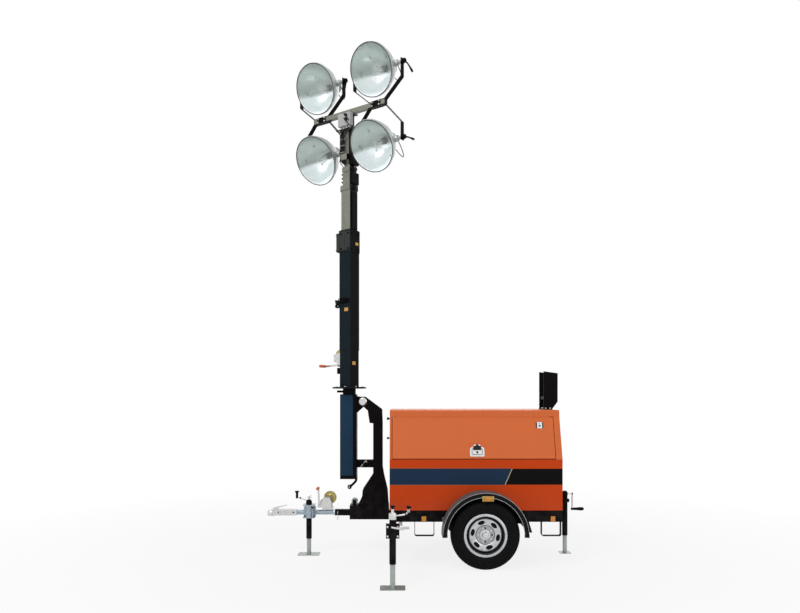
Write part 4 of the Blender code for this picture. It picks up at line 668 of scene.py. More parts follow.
for side, hand in SIDES:
    centre = (WHEEL_PLACE[0], side * WHEEL_PLACE[1], WHEEL_PLACE[2])
    axis = (0, side, 0)
    body = "wheel_" + hand
    rim = ["rim_" + hand]
    tread = tyre_shape(centre, side)
    add_piece("tyre_tread_" + hand, tread, tyre_rubber, body, ["tyre_" + hand], 50.0)
    disc = slotted_disc(centre, side)
    disc = add_piece("wheel_disc_" + hand, disc, silver_lacquer, body, rim)
    thick = disc.modifiers.new("thickness", "SOLIDIFY")
    thick.thickness = 0.004
    thick.offset = 0.0
    add_piece("brake_drum_" + hand, revolve(DRUM_LINE, centre, axis, 96), drum_iron, body)
    studs = nut_circle(centre, side, 4, 0.064, 0.031, (0.014, 0.012))
    add_piece("wheel_studs_" + hand, joined(*studs), drum_iron, body)
    well = revolve([*WELL_LINE, WELL_LINE[0]], centre, axis)
    add_piece("wheel_well_" + hand, well, silver_lacquer, body, rim)
    nuts = nut_circle(centre, side, 5, 0.066, 0.03, (0.019, 0.015), NUTS_START)
    hub = revolve(HUB_LINE, centre, axis, 96)
    add_piece("hub_cap_" + hand, joined(hub, *nuts), bright_plate, body, rim)


# Floodlights: spun aluminium reflector with a rolled rim, a cast neck that holds the ballast socket
# behind it, toughened glass set in a rubber gasket, and two trunnions clamped in the yoke's arms.
UPWARDS = np.array((0.0, 0.0, 1.0))
LAMP_AXES = {"left": (-1.10081, 0.22218), "right": (-0.48919, -0.22218)}
LAMP_HEIGHTS = {"upper": 4.94, "lower": 4.19}
LAMP_DIPS = {"upper": math.radians(22.0), "lower": math.radians(29.0)}
FINS = 5
FIN_LINE = [(0.0, 0.054), (0.0, 0.0575), (0.005, 0.0575), (0.005, 0.054), (0.0, 0.054)]
SHELL_LINE = [
    (-0.29, 0.0), (-0.29, 0.034), (-0.287, 0.04), (-0.28, 0.045), (-0.276, 0.05), (-0.268, 0.0545),
    (-0.164, 0.0545), (-0.158, 0.056), (-0.148, 0.064), (-0.139, 0.076), (-0.122, 0.102), (-0.104, 0.1305),
    (-0.078, 0.16), (-0.048, 0.1862), (-0.013, 0.209), (0.022, 0.2253), (0.06, 0.2395), (0.093, 0.247),
    (0.0975, 0.25), (0.099, 0.2555), (0.1015, 0.2565), (0.125, 0.2565), (0.127, 0.2555), (0.127, 0.2505),
]
BOWL_LINE = [
    (0.127, 0.2505), (0.125, 0.2485), (0.1175, 0.247), (0.1165, 0.244), (0.093, 0.241), (0.06, 0.234),
    (0.022, 0.221), (-0.013, 0.2045), (-0.048, 0.1805), (-0.078, 0.154), (-0.101, 0.127), (-0.118, 0.102),
    (-0.132, 0.08), (-0.136, 0.068), (-0.138, 0.0),
]
BULB_LINE = [
    (-0.094, 0.0), (-0.094, 0.023), (-0.09, 0.025), (-0.07, 0.025), (-0.06, 0.029), (-0.04, 0.042),
    (-0.015, 0.051), (0.01, 0.052), (0.035, 0.046), (0.054, 0.035), (0.066, 0.022), (0.072, 0.008),
    (0.073, 0.0),
]
BOSS_LINE = [(0.0, 0.0), (0.0, 0.0315), (0.04, 0.0315), (0.048, 0.027), (0.05, 0.017), (0.05, 0.0)]
GASKET_LINE = [
    (0.1235, 0.247), (0.1285, 0.247), (0.1295, 0.25), (0.1285, 0.2535), (0.1235, 0.2535), (0.1235, 0.247),
]
ARC_LINE = [(-0.06, 0.0), (-0.06, 0.0125), (0.042, 0.0125), (0.048, 0.008), (0.05, 0.0)]
SOCKET_LINE = [(-0.138, 0.0), (-0.138, 0.033), (-0.092, 0.033), (-0.09, 0.03), (-0.09, 0.0)]
STUDS = ((0.9, 0.12, -0.094), (2.2, 0.165, -0.056), (3.7, 0.12, -0.094), (5.2, 0.165, -0.056))
CLIP_TURNS = (0.5 * math.pi, 1.25 * math.pi, 1.75 * math.pi, 1.5 * math.pi)
WARM_REACH = 0.11
DARK_RINGS = (0.026, 0.014)
# Strength of the painted light glowing in the reflector's lower half.
GLOW = 0.46


def tube_along(path, radius, sides=14):
    """A circle carried along a path of points, with its own frame at each point kept from twisting."""
    path = np.asarray(path, float)
    along = np.gradient(path, axis=0)
    along = along / np.linalg.norm(along, axis=1)[:, None]
    first = np.cross(along, np.array([0.31, 0.87, 0.38]))
    first = first / np.linalg.norm(first, axis=1)[:, None]
    second = np.cross(along, first)
    turn = np.linspace(0.0, math.tau, sides, endpoint=False)
    ways = ring_ways(turn, first[:, None, :], second[:, None, :])
    return capped(path[:, None, :] + radius * ways, len(path), sides)


def box_piece(centre, lengths, directions, bevel=0.0):
    """A block about the centre along three directions; its corners are cut off where a bevel is given."""
    half = np.asarray(lengths, float) / 2
    mesh = bmesh.new()
    for signs in itertools.product((-1, 1), repeat=3):
        for axis in range(3 if bevel else 1):
            pulled = half.copy()
            if bevel:
                pulled = half - bevel
                pulled[axis] = half[axis]
            corner = (np.asarray(signs) * pulled) @ np.asarray(directions, float)
            mesh.verts.new(np.asarray(centre, float) + corner)
    bmesh.ops.convex_hull(mesh, input=mesh.verts)
    mesh.verts.index_update()
    points = np.array([vertex.co[:] for vertex in mesh.verts])
    faces = [tuple(vertex.index for vertex in face.verts) for face in mesh.faces]
    mesh.free()
    return points, faces


def lamp_frame(level, hand):
    """The point on a lamp's axis between its trunnions, and its own ahead and upward directions."""
    dip = LAMP_DIPS[level]
    ahead = MAST_FRONT * math.cos(dip) - UPWARDS * math.sin(dip)
    rise = MAST_FRONT * math.sin(dip) + UPWARDS * math.cos(dip)
    return np.array((*LAMP_AXES[hand], LAMP_HEIGHTS[level])), ahead, rise


def lengths_from(made, spot, *ways):
    """The lengths along those directions from the spot, as wires."""
    x, y, z = made.x - spot[0], made.y - spot[1], made.z - spot[2]
    return [x * way[0] + y * way[1] + z * way[2] for way in ways]


def reflector_finish(name, centre, rise):
    """Brushed aluminium with painted reflection: darker above and bright below, for the dark above and the
    light ground below, and warmer beside its neck; the bright half glows weakly, painted light for the light
    that the bowl gathers."""
    made = Finish(name)
    haze = made.noise(6.0)
    height = lengths_from(made, centre, rise)[0]
    # painted reflection: the lower half of the bowl is painted bright, the upper half darker
    pale = ((height + haze * 0.05 + 0.01) * -26.0 + 0.5).clamp()
    color = pale.mix((0.52, 0.6, 0.56), (0.95, 0.97, 1.0))
    warm = lengths_from(made, centre + MAST_RIGHT * WARM_REACH - rise * 0.02, *np.eye(3))
    away = (warm[0] ** 2 + warm[1] ** 2 + warm[2] ** 2) ** 0.5
    color = (((away - 0.04) * -9.0 + 0.9).clamp() * 0.8).mix(color, (0.84, 0.78, 0.66))
    # painted light: the bright half glows though the reflector is no lamp
    glow = pale.mix((0.0, 0.0, 0.0), (0.88, 0.95, 1.0))
    sideways, upwards = lengths_from(made, centre - MAST_RIGHT * 0.055 - rise * 0.004, MAST_RIGHT, rise)
    ring = (sideways * sideways + upwards * upwards) ** 0.5
    for reach in DARK_RINGS:
        band = ring.above(reach - 0.003, 0.003) * ring.below(reach + 0.003, 0.003)
        color = (band * 0.7).mix(color, (0.1, 0.12, 0.12))
        glow = band.mix(glow, (0.0, 0.0, 0.0))
    brushed = made.bump(made.noise(90.0), 0.0002, 0.3)
    return made.shade(color, haze * 0.1 + 0.2, pale * 0.55 + 0.3, brushed,
                      **{"Emission Color": glow, "Emission Strength": GLOW})


lamp_housing = mottled("lamp_housing", (11.0, 11.0), ((0.46, 0.49, 0.49), (0.58, 0.61, 0.6)),
                       (0.2, 0.42), 0.55, (180.0, 4.0, 0.0002, 0.25))
gasket_rubber = mottled("gasket_rubber", (40.0, 25.0), ((0.01, 0.01, 0.01), (0.028, 0.028, 0.027)),
                        (0.2, 0.6), **{"Specular IOR Level": 0.2})
socket_porcelain = mottled("socket_porcelain", (30.0, 18.0), ((0.55, 0.54, 0.5), (0.7, 0.69, 0.65)),
                           (0.2, 0.35))
glazing = Finish("toughened_glass")
smear = glazing.noise(4.5)
toughened_glass = glazing.shade(smear.mix((0.55, 0.62, 0.58), (0.7, 0.74, 0.72)), smear * 0.1 + 0.05,
                                Alpha=(smear - 0.35).clamp() * 0.25 + 0.1)
quartz = Finish("bulb_glass")
bulb_glass = quartz.shade(quartz.noise(30.0).mix((0.7, 0.74, 0.72), (0.8, 0.83, 0.82)),
                          quartz.noise(20.0) * 0.1 + 0.04, Alpha=quartz.noise(16.0) * 0.12 + 0.22)

for level, hand in itertools.product(LAMP_HEIGHTS, LAMP_AXES):
    name = f"{level}_{hand}"
    body = "lamp_" + name
    node = [body]
    repaint(toughened_glass, "lamp_glass_" + name)
    centre, ahead, rise = lamp_frame(level, hand)
    housing = [revolve(SHELL_LINE, centre, ahead, 128)]
    for right in (-MAST_RIGHT, MAST_RIGHT):
        housing.append(tube_along([centre + right * reach for reach in (0.2055, 0.2997)], 0.0155, 24))
        housing.append(revolve(BOSS_LINE, centre + right * 0.208, right, 32))
        rib = centre + right * 0.226
        housing.append(box_piece(rib, (0.03, 0.05, 0.012), (MAST_RIGHT, ahead, rise), 0.003))
    for step in range(FINS):
        housing.append(revolve(FIN_LINE, centre + ahead * (step * 0.019 - 0.262), ahead, 48))
    add_piece("housing_" + name, joined(*housing), lamp_housing, body, node)
    bowl_finish = reflector_finish("reflector_" + name, centre, rise)
    add_piece("reflector_" + name, revolve(BOWL_LINE, centre, ahead, 128), bowl_finish, body, node)
    studs = []
    for turn, reach, depth in STUDS:
        foot = centre + ahead * depth + (MAST_RIGHT * math.cos(turn) + rise * math.sin(turn)) * reach
        studs.append(tube_along([foot, foot + ahead * 0.018], 0.0042, 12))
    add_piece("reflector_studs_" + name, joined(*studs), gasket_rubber, body, node)
    gasket = revolve(GASKET_LINE, centre, ahead, 128)
    add_piece("gasket_" + name, gasket, gasket_rubber, body, node)
    add_piece("bulb_" + name, revolve(BULB_LINE, centre, ahead, 48), bulb_glass, body, node)
    arc_tube = revolve(ARC_LINE, centre, ahead, 24)
    add_piece("arc_tube_" + name, arc_tube, socket_porcelain, body, node)
    socket = revolve(SOCKET_LINE, centre, ahead, 40)
    add_piece("bulb_socket_" + name, socket, gasket_rubber, body, node)
    clips = []
    for turn in CLIP_TURNS:
        out = MAST_RIGHT * math.cos(turn) + rise * math.sin(turn)
        spot = centre + ahead * 0.1145 + out * 0.255
        clips.append(box_piece(spot, (0.026, 0.005, 0.022), (ahead, out, np.cross(ahead, out)), 0.001))
        clips.append(tube_along([spot + ahead * 0.008, spot + ahead * 0.008 + out * 0.008], 0.0022, 10))
    add_piece("rim_clips_" + name, joined(*clips), bright_plate, body, node, 20.0)


# Hand winches: pressed plates in bright zinc round a toothed gear in yellow passivated steel, a drum
# wound with steel rope, and a flat crank with an orange grip; one bolted to the drawbar, one to the mast.
ROPE = 0.005
TURNS = 15
AXLE = (0, 1, 0)
SQUARE = np.eye(3)
GEAR_PLACE = (0.026, 0.096)
TIE_PLACE = (-0.03, 0.094)
DRUM_PLACE = (-0.005, 0.055)
SHAFT_PLACE = (-0.078, 0.032)
PLATE_CORNERS = [
    (-0.095, 0.001), (0.05, 0.001), (0.05, 0.05), (0.03, 0.106), (-0.04, 0.106), (-0.052, 0.062),
    (-0.095, 0.055),
]
ARM_CORNERS = [(-0.0885, 0.022), (-0.0675, 0.022), (-0.0765, 0.215), (-0.0955, 0.215)]
GEAR_LINE = [
    (0.002, 0.012), (0.002, 0.03), (0.0045, 0.034), (0.0045, 0.056), (0.002, 0.06), (0.002, 0.0668),
    (0.012, 0.0668), (0.012, 0.06), (0.0095, 0.056), (0.0095, 0.034), (0.0135, 0.03), (0.0135, 0.0),
]
PINION_LINE = [(0.0, 0.0), (0.0, 0.017), (0.012, 0.017), (0.012, 0.0)]
DRUM_CORE = [(0, 0), (0, 0.0238), (0.082, 0.0238), (0.082, 0)]


def moved(shape, matrix):
    """The same faces with the points turned and shifted by a four by four matrix."""
    points, faces = shape
    matrix = np.array(matrix)
    return np.asarray(points, float).reshape(-1, 3) @ matrix[:3, :3].T + matrix[:3, 3], faces


def inset_line(outline, bevel):
    """The outline drawn in towards its middle by about the bevel."""
    middle = outline.mean(axis=0)
    return middle + (outline - middle) * (1 - bevel / np.abs(outline - middle).max())


def winch_plate(corners, radius, low, high, bevel=0.0008):
    """A plate across the winch's axle, with its rounded outline in x and z, as thick as low to high."""
    along, first, second = axes_about(AXLE)
    outline = rounded_outline(corners, radius)
    flat = np.stack([outline[:, 0], np.zeros(len(outline)), outline[:, 1]], axis=1)
    outline = flat @ np.stack([first, second], axis=1)
    inset = inset_line(outline, bevel)
    levels = [(low, inset), (low + bevel, outline), (high - bevel, outline), (high, inset)]
    points = [line[:, 0, None] * first + line[:, 1, None] * second + level * along for level, line in levels]
    return capped(np.vstack(points), 4, len(outline))


def toothed_disc(profile, centre, direction, teeth, depth):
    """A revolved profile whose outer points, those past nine tenths of the reach, rise and fall as teeth."""
    along, first, second = axes_about(direction)
    profile = np.asarray(profile, float)
    turn = np.linspace(0.0, math.tau, teeth * 6, endpoint=False)
    tooth = np.clip(np.sin(turn * teeth) * 2.2, -1, 1) * depth / 2
    radius = profile[:, 1, None] + tooth[None, :] * (profile[:, 1, None] > profile[:, 1].max() * 0.9)
    ring = ring_ways(turn, first, second)
    points = np.asarray(centre, float) + profile[:, 0, None, None] * along + radius[:, :, None] * ring
    return points.reshape(-1, 3), grid_faces(len(profile), teeth * 6, closed_columns=True)


def rounded_outline(corners, radius, steps=6):
    """The corners' polygon with an arc for each corner, a quadratic curve between the cut ends."""
    corners = np.asarray(corners, float)
    share = np.linspace(0, 1, steps)[:, None]
    points = []
    for before, here, after in zip(np.roll(corners, 1, axis=0), corners, np.roll(corners, -1, axis=0)):
        start = here + (before - here) / np.linalg.norm(before - here) * radius
        end = here + (after - here) / np.linalg.norm(after - here) * radius
        points.append((1 - share) ** 2 * start + 2 * share * (1 - share) * here + share ** 2 * end)
    return np.vstack(points)


orange_grip = mottled("orange_grip", (60.0, 60.0), ((0.62, 0.13, 0.035), (0.74, 0.17, 0.05)), (0.2, 0.4))
wire_rope = mottled("wire_rope", (35.0, 35.0), ((0.1, 0.1, 0.1), (0.3, 0.3, 0.29)), (0.2, 0.35), 0.7,
                    (900.0, 1.0, 0.0006, 0.5))


def add_crisp(name, shape, material, body, replaced=()):
    """A piece whose edges past thirty degrees stay sharp."""
    return add_piece(name, shape, material, body, replaced, CRISP)


def add_winch(name, matrix, body, pedestal):
    """All the pieces of one winch, built about its base and put in place by the matrix."""
    shaft_x, shaft_z = SHAFT_PLACE
    steel = [winch_plate(PLATE_CORNERS, 0.008, shift, shift + 0.0038) for shift in (-0.0449, 0.0411)]
    steel.append(box_piece((-0.014, 0, 0.003), (0.166, 0.086, 0.005), SQUARE, 0.001))
    if pedestal:
        steel.append(box_piece((0.005, 0, -pedestal / 2), (0.108, 0.042, pedestal), SQUARE, 0.002))
    for (x, z), radius, start in ((SHAFT_PLACE, 0.0078, -0.052), (GEAR_PLACE, 0.0065, -0.0445),
                                  (TIE_PLACE, 0.0045, -0.0445), (DRUM_PLACE, 0.008, -0.052)):
        steel.append(tube_along([(x, start, z), (x, 0.043, z)], radius, 20))
    for x, z in (GEAR_PLACE, TIE_PLACE, DRUM_PLACE):
        steel.append(hex_nut((x, -0.0448, z), (0, -1, 0), 0.017, 0.007, 0.3))
    steel.append(winch_plate(ARM_CORNERS, 0.006, -0.066, -0.0615))
    steel.append(hex_nut((shaft_x, -0.0655, shaft_z), (0, -1, 0), 0.018, 0.009, 0.1))
    steel.append(tube_along([(shaft_x, -0.0625, shaft_z), (shaft_x, -0.045, shaft_z)], 0.0105, 20))
    add_crisp(name + "_frame", moved(joined(*steel), matrix), bright_plate, body, [name])
    gear_x, gear_z = GEAR_PLACE
    gears = joined(toothed_disc(GEAR_LINE, (gear_x, 0.0445, gear_z), AXLE, 56, 0.0035),
                   toothed_disc(PINION_LINE, (-0.052, 0.0455, 0.062), AXLE, 14, 0.003),
                   hex_nut((gear_x, 0.0575, gear_z), AXLE, 0.019, 0.0025))
    add_crisp(name + "_gears", moved(gears, matrix), yellow_plate, body, [name])
    turn = np.linspace(0, math.tau * TURNS, TURNS * 28)
    helix = np.stack([DRUM_PLACE[0] + 0.0262 * np.cos(turn), np.linspace(-0.036, 0.036, len(turn)),
                      DRUM_PLACE[1] + 0.0262 * np.sin(turn)], axis=1)
    core = revolve(DRUM_CORE, (DRUM_PLACE[0], -0.041, DRUM_PLACE[1]), AXLE, 40)
    wound = joined(tube_along(helix, ROPE / 2, 8), core)
    add_piece(name + "_rope", moved(wound, matrix), wire_rope, body, [name])
    ribs = [(0.0, 0.0), (0.0, 0.012), (0.004, 0.0142)]
    for start in np.arange(6) * 0.012 + 0.01:
        ribs += [(start, 0.0148), (start + 0.004, 0.0152), (start + 0.0085, 0.0135),
                 (start + 0.0105, 0.0135)]
    ribs += [(0.086, 0.0148), (0.09, 0.012), (0.0915, 0.0)]
    grip = revolve(ribs, (-0.086, -0.0585, 0.208), (0, -1, 0), 32)
    add_piece(name + "_grip", moved(grip, matrix), orange_grip, body, [name])


MAST_PLACE = Matrix.Translation((MAST_X, 0, 0)) @ Matrix.Rotation(math.radians(-36.0), 4, "Z")
MAST_WINCH_PLACE = Matrix.Translation((-0.0703, 0, 2.034)) @ Matrix.Rotation(math.radians(-90.0), 4, "Y")
add_winch("drawbar_winch", Matrix.Translation((-1.025, 0, 0.474)), "chassis", 0.022)
add_winch("mast_winch", MAST_PLACE @ MAST_WINCH_PLACE, "mast", 0.0)


# Mast hardware: zinc bolts and washers in the collars and clamps, blank labels, the steel hoisting rope, a
# black cable carrier with its plugs and cables at the head, and hubs with clamping levers on the yokes.
DOT_LINE = [(0.0, 0.0), (0.0, 0.0048), (0.0012, 0.0044), (0.0022, 0.0026), (0.0026, 0.0)]
SEAMS = ((0.0735, 2.1085), (0.071, 1.874), (0.0776, 3.126))
GUIDE_RING = [
    (0.05, 0.076, 2.64), (0.01, 0.098, 2.63), (-0.06, 0.108, 2.6), (-0.122, 0.08, 2.572),
    (-0.14, 0.03, 2.562), (-0.12, -0.01, 2.574), (-0.074, -0.02, 2.59),
]
UPPER_BOW = [
    (0.03, 0.075, 2.648), (-0.04, 0.092, 2.646), (-0.096, 0.066, 2.632), (-0.112, 0.026, 2.606),
    (-0.122, 0.01, 2.58),
]
BAND_LOOP = [
    (-0.068, 0.06, 2.636), (-0.11, 0.05, 2.61), (-0.141, 0.04, 2.572), (-0.11, 0.04, 2.568),
    (-0.068, 0.04, 2.57),
]
STRIP_RIGHTS = (-0.058, -0.035, -0.012, 0.012, 0.035, 0.058)
MAST_AXES = (MAST_RIGHT, MAST_FRONT, UPWARDS)


def mast_spot(right, front, z):
    """A point by its lengths rightwards and frontwards of the mast's axis, and its height."""
    return np.array((MAST_X, 0.0, 0.0)) + MAST_RIGHT * right + MAST_FRONT * front + UPWARDS * z


def mast_box(spot, lengths, bevel):
    """A block about a (right, front, z) spot, by its lengths rightwards, frontwards and upwards."""
    return box_piece(mast_spot(*spot), lengths, MAST_AXES, bevel)


def mast_curve(spots, count, radius, sides):
    """A round bar or cable along a smooth curve through (right, front, z) spots of the mast."""
    return tube_along(smooth_line([mast_spot(*spot) for spot in spots], count), radius, sides)


def bolt(place, direction, width=0.017, turn=0.2):
    """A washer with a hex head on it."""
    along, _, _ = axes_about(direction)
    washer = [(-0.001, 0.0), (-0.001, width * 0.66), (0.0016, width * 0.66), (0.0016, 0.0)]
    return joined(revolve(washer, place, direction, 20),
                  hex_nut(np.asarray(place) + along * 0.0014, direction, width, width * 0.42, turn))


def mast_label(name, spot, right, width, height):
    """A blank printed plate: a thin sheet with a narrow border proud of it."""
    out = np.cross(right, UPWARDS)
    axes = (right, UPWARDS, out)
    place = mast_spot(*spot)
    sheet = box_piece(place, (width, height, 0.0012), axes, 0.0003)
    edges = []
    for side in (-1, 1):
        middle = place + UPWARDS * side * (height / 2 - 0.001) + out * 0.0005
        edges.append(box_piece(middle, (width, 0.002, 0.0016), axes, 0.0003))
    add_piece(name, joined(sheet, *edges), label_print, "mast")


label_print = mottled("blank_label", (40.0, 25.0), ((0.66, 0.33, 0.06), (0.8, 0.46, 0.12)), (0.2, 0.35))
strip_grey = mottled("weathered_grey", (22.0, 22.0), ((0.035, 0.038, 0.034), (0.075, 0.08, 0.07)),
                     (0.2, 0.55), grain=(22.0, 4.0, 0.0004, 0.3), **{"Specular IOR Level": 0.15})

fasteners = []
for z, reach in itertools.product((3.16, 3.316), (-0.048, 0.048)):
    fasteners.append(bolt(mast_spot(reach, 0.0772, z), MAST_FRONT))
    fasteners.append(bolt(mast_spot(0.0772, reach, z), MAST_RIGHT))
    fasteners.append(bolt(mast_spot(-0.1324, reach, z), -MAST_RIGHT, 0.013))
for z, way in itertools.product(np.linspace(2.145, 3.085, 7), (-1, 1)):
    fasteners.append(revolve(DOT_LINE, mast_spot(way * 0.06, 0.073, z), MAST_FRONT, 16))
    fasteners.append(revolve(DOT_LINE, mast_spot(0.073, way * 0.06, z), MAST_RIGHT, 16))
add_crisp("mast_bolts", joined(*fasteners), black_enamel, "mast")
seams = [mast_box((0.0, reach, z), (0.128, 0.0016, 0.006), 0.0004) for reach, z in SEAMS]
add_crisp("mast_seams", joined(*seams), drum_iron, "mast")
band = mast_box((0.0, 0.074, 2.618), (0.132, 0.005, 0.05), 0.001)
band = joined(band, mast_curve(BAND_LOOP, 40, 0.008, 14))
add_piece("cable_clamp_band", band, black_enamel, "mast")
strips = [mast_box((right, 0.0776, 3.243), (0.0185, 0.0022, 0.2), 0.0006) for right in STRIP_RIGHTS]
strips.append(mast_box((-0.105, 0.054, 3.24), (0.046, 0.0022, 0.185), 0.0006))
add_piece("collar_strips", joined(*strips), strip_grey, "mast")
guide = joined(mast_curve(GUIDE_RING, 70, 0.006, 14), mast_curve(UPPER_BOW, 50, 0.005, 14))
add_piece("cable_guide_ring", guide, black_enamel, "mast")

# Black folded ducts on the right faces of the inner sections, over the cables' run, which with the blackened
# faces also stand for the shade down that side as painted shade; and the bolts through the turntable's rim.
BOLTS_RING = 0.146
DUCTS = (
    # section, from the mast's axis to its inner and outer face, width, low, high
    (2, 0.0595, 0.0755, 0.088, 3.362, 3.752),
    (3, 0.0485, 0.086, 0.112, 3.83, 3.95),
    (4, 0.0375, 0.086, 0.112, 4.03, 4.395),
)
for number, inner, outer, width, low, high in DUCTS:
    duct = mast_box(((inner + outer) / 2, 0.0, (low + high) / 2), (outer - inner, width, high - low), 0.003)
    add_crisp(f"duct_and_painted_shade_{number}", duct, black_enamel, f"section_{number}")
rim_bolts = []
for turn in np.arange(8) * math.tau / 8 + math.tau / 16:
    spot = mast_spot(BOLTS_RING * math.cos(turn), BOLTS_RING * math.sin(turn), 1.727)
    rim_bolts.append(bolt(spot, UPWARDS, 0.014, turn))
add_crisp("turntable_bolts", joined(*rim_bolts), bright_plate, "mast")

mast_label("mast_label_upper", (0.078, -0.03, 3.215), -MAST_FRONT, 0.046, 0.03)
mast_label("mast_label_lower", (0.0712, 0.01, 1.975), -MAST_FRONT, 0.052, 0.036)
mast_label("mast_label_front", (0.02, 0.074, 2.53), MAST_RIGHT, 0.05, 0.036)

# Hoisting rope: stranded steel wire, wound on the mast winch's drum; it runs up beside the cable guide
# into the collar's sheave box.
hoist_rope = [mast_spot(-0.099, -0.036, z) for z in np.linspace(2.033, 3.15, 60)]
add_piece("hoist_rope", tube_along(hoist_rope, 0.0026, 8), wire_rope, "mast")

# Toothed locking strip, cut from black plate, on the third section's left edge, and the stop block below
# it on the second.
TOOTH_LINE = [(0.0, -0.016), (0.0, 0.016), (0.02, 0.016), (0.026, 0.009)]
TOOTH_FACES = [(0, 1, 2, 3), (7, 6, 5, 4), (0, 4, 5, 1), (1, 5, 6, 2), (2, 6, 7, 3), (3, 7, 4, 0)]
teeth = []
for z in (3.856, 3.896, 3.936):
    spots = [mast_spot(-0.0482 - out, 0.036 + shift, z + rise)
             for shift, (out, rise) in itertools.product((-0.005, 0.005), TOOTH_LINE)]
    teeth.append((np.array(spots), TOOTH_FACES))
add_crisp("locking_strip", joined(*teeth), black_enamel, "section_3")
stop = mast_box((-0.075, 0.03, 3.79), (0.022, 0.034, 0.05), 0.004)
add_crisp("stop_block", stop, black_enamel, "section_2")

# Cable carrier: a folded black channel bolted to the inner section's left face, two sheaves on its
# cheeks, and three rubber cables tied to it on their way from the connection box.
SHEAVE_LINE = [
    (0.0, 0.0), (0.0, 0.036), (0.006, 0.038), (0.012, 0.031), (0.02, 0.031), (0.026, 0.038), (0.032, 0.036),
    (0.032, 0.0),
]
TIE_LINE = [(-0.002, 0.028), (-0.002, 0.0305), (0.002, 0.0305), (0.002, 0.028), (-0.002, 0.028)]
PLUG_LINE = [
    (0.0, 0.0), (0.0, 0.0165), (0.01, 0.0165), (0.012, 0.014), (0.022, 0.013), (0.024, 0.01), (0.024, 0.0),
]
GLAND_NUT = [(0.0, 0.0), (0.0, 0.0145), (0.016, 0.0145), (0.02, 0.011), (0.02, 0.0)]
SHEAVE_HEIGHTS = (4.37, 4.14)
TIE_SQUASH = 0.62
carrier = [
    mast_box((-0.04, 0.01, 4.25), (0.004, 0.075, 0.34), 0.001),
    mast_box((-0.064, 0.046, 4.25), (0.052, 0.004, 0.34), 0.001),
    mast_box((-0.064, -0.026, 4.25), (0.052, 0.004, 0.34), 0.001),
    mast_box((-0.095, 0.048, 4.412), (0.09, 0.005, 0.014), 0.002),
]
carrier += [revolve(SHEAVE_LINE, mast_spot(-0.072, -0.022, z), MAST_FRONT, 40) for z in SHEAVE_HEIGHTS]
add_crisp("cable_carrier", joined(*carrier), black_enamel, "section_4")
pins = [bolt(mast_spot(-0.072, 0.048, z), MAST_FRONT, 0.015) for z in SHEAVE_HEIGHTS]
pins += [bolt(mast_spot(-0.052, 0.048, z), MAST_FRONT, 0.01) for z in (4.105, 4.2, 4.3, 4.4)]
add_crisp("carrier_bolts", joined(*pins), bright_plate, "section_4")

cables, ties = [], []
for step, (start, drop) in enumerate(((-0.054, 0.0), (-0.018, 0.012), (0.018, 0.024))):
    cables.append(mast_curve([
        (start, 0.064, 4.392), (start * 0.9 - 0.004, 0.068, 4.35),
        (-0.05 + step * 0.014, 0.066 + drop * 0.3, 4.3),
        (-0.06 + step * 0.018, 0.06, 4.23), (-0.062 + step * 0.02, 0.058, 4.16),
        (-0.058 + step * 0.018, 0.06, 4.1), (-0.048 + step * 0.014, 0.058, 4.062 - drop),
        (-0.03 + step * 0.012, 0.05, 4.07), (-0.02 + step * 0.012, 0.042, 4.11),
    ], 80, 0.0058, 12))
for z in (4.3, 4.235, 4.165, 4.11):
    middle = mast_spot(-0.04, 0.062, z)
    points, faces = revolve(TIE_LINE, middle, UPWARDS, 36)
    ties.append((points - np.outer((points - middle) @ MAST_FRONT, MAST_FRONT) * TIE_SQUASH, faces))
add_piece("head_cables", joined(*cables), gasket_rubber, "section_4")
add_piece("cable_ties", joined(*ties), socket_porcelain, "section_4")
plugs = []
for z in (4.532, 4.487):
    plugs.append(revolve(PLUG_LINE, mast_spot(0.03, 0.0872, z), MAST_FRONT, 28))
    plugs.append(mast_curve([(0.03, 0.108, z), (0.034, 0.128, z - 0.002), (0.05, 0.136, z - 0.016),
                             (0.064, 0.118, z - 0.04), (0.066, 0.086, z - 0.062)], 40, 0.0055, 12))
plugs += [revolve(GLAND_NUT, mast_spot(right, 0.064, 4.404), -UPWARDS, 24)
          for right in (-0.054, -0.018, 0.018, 0.054)]
add_piece("head_plugs", joined(*plugs), gasket_rubber, "section_4")

# Clamps on the crossbar, caps on its ends, and the yokes' hubs: a black boss with a clamping lever on each
# right arm, a domed nut on each left arm.
BAR_Z = 4.59
HUB_REACH = 0.3062
LEVER_TURNS = {"upper_left": 248.0, "upper_right": 325.0, "lower_left": 290.0, "lower_right": 3.0}
HUB_BOSS = [
    (0.0, 0.0), (0.0, 0.026), (0.008, 0.028), (0.022, 0.024), (0.034, 0.022), (0.038, 0.017), (0.038, 0.0),
]
LEVER_KNOB = [(0.0, 0.0), (0.0, 0.0095), (0.04, 0.0115), (0.05, 0.01), (0.054, 0.005), (0.055, 0.0)]
DOME_LINE = [(0.0, 0.0), (0.0, 0.017), (0.006, 0.017), (0.013, 0.011), (0.016, 0.0)]
clamps, caps, hubs, levers = [], [], [], []
for way in (-1, 1):
    caps.append(mast_box((way * 0.4795, 0.0, BAR_Z), (0.006, 0.047, 0.047), 0.003))
    for right, z in itertools.product((-0.045, 0.045), (-0.018, 0.018)):
        spot = mast_spot(way * 0.368 + right, 0.0308, BAR_Z + z)
        clamps.append(bolt(spot, MAST_FRONT, 0.013))
        clamps.append(bolt(spot - MAST_FRONT * 0.0616, -MAST_FRONT, 0.013))
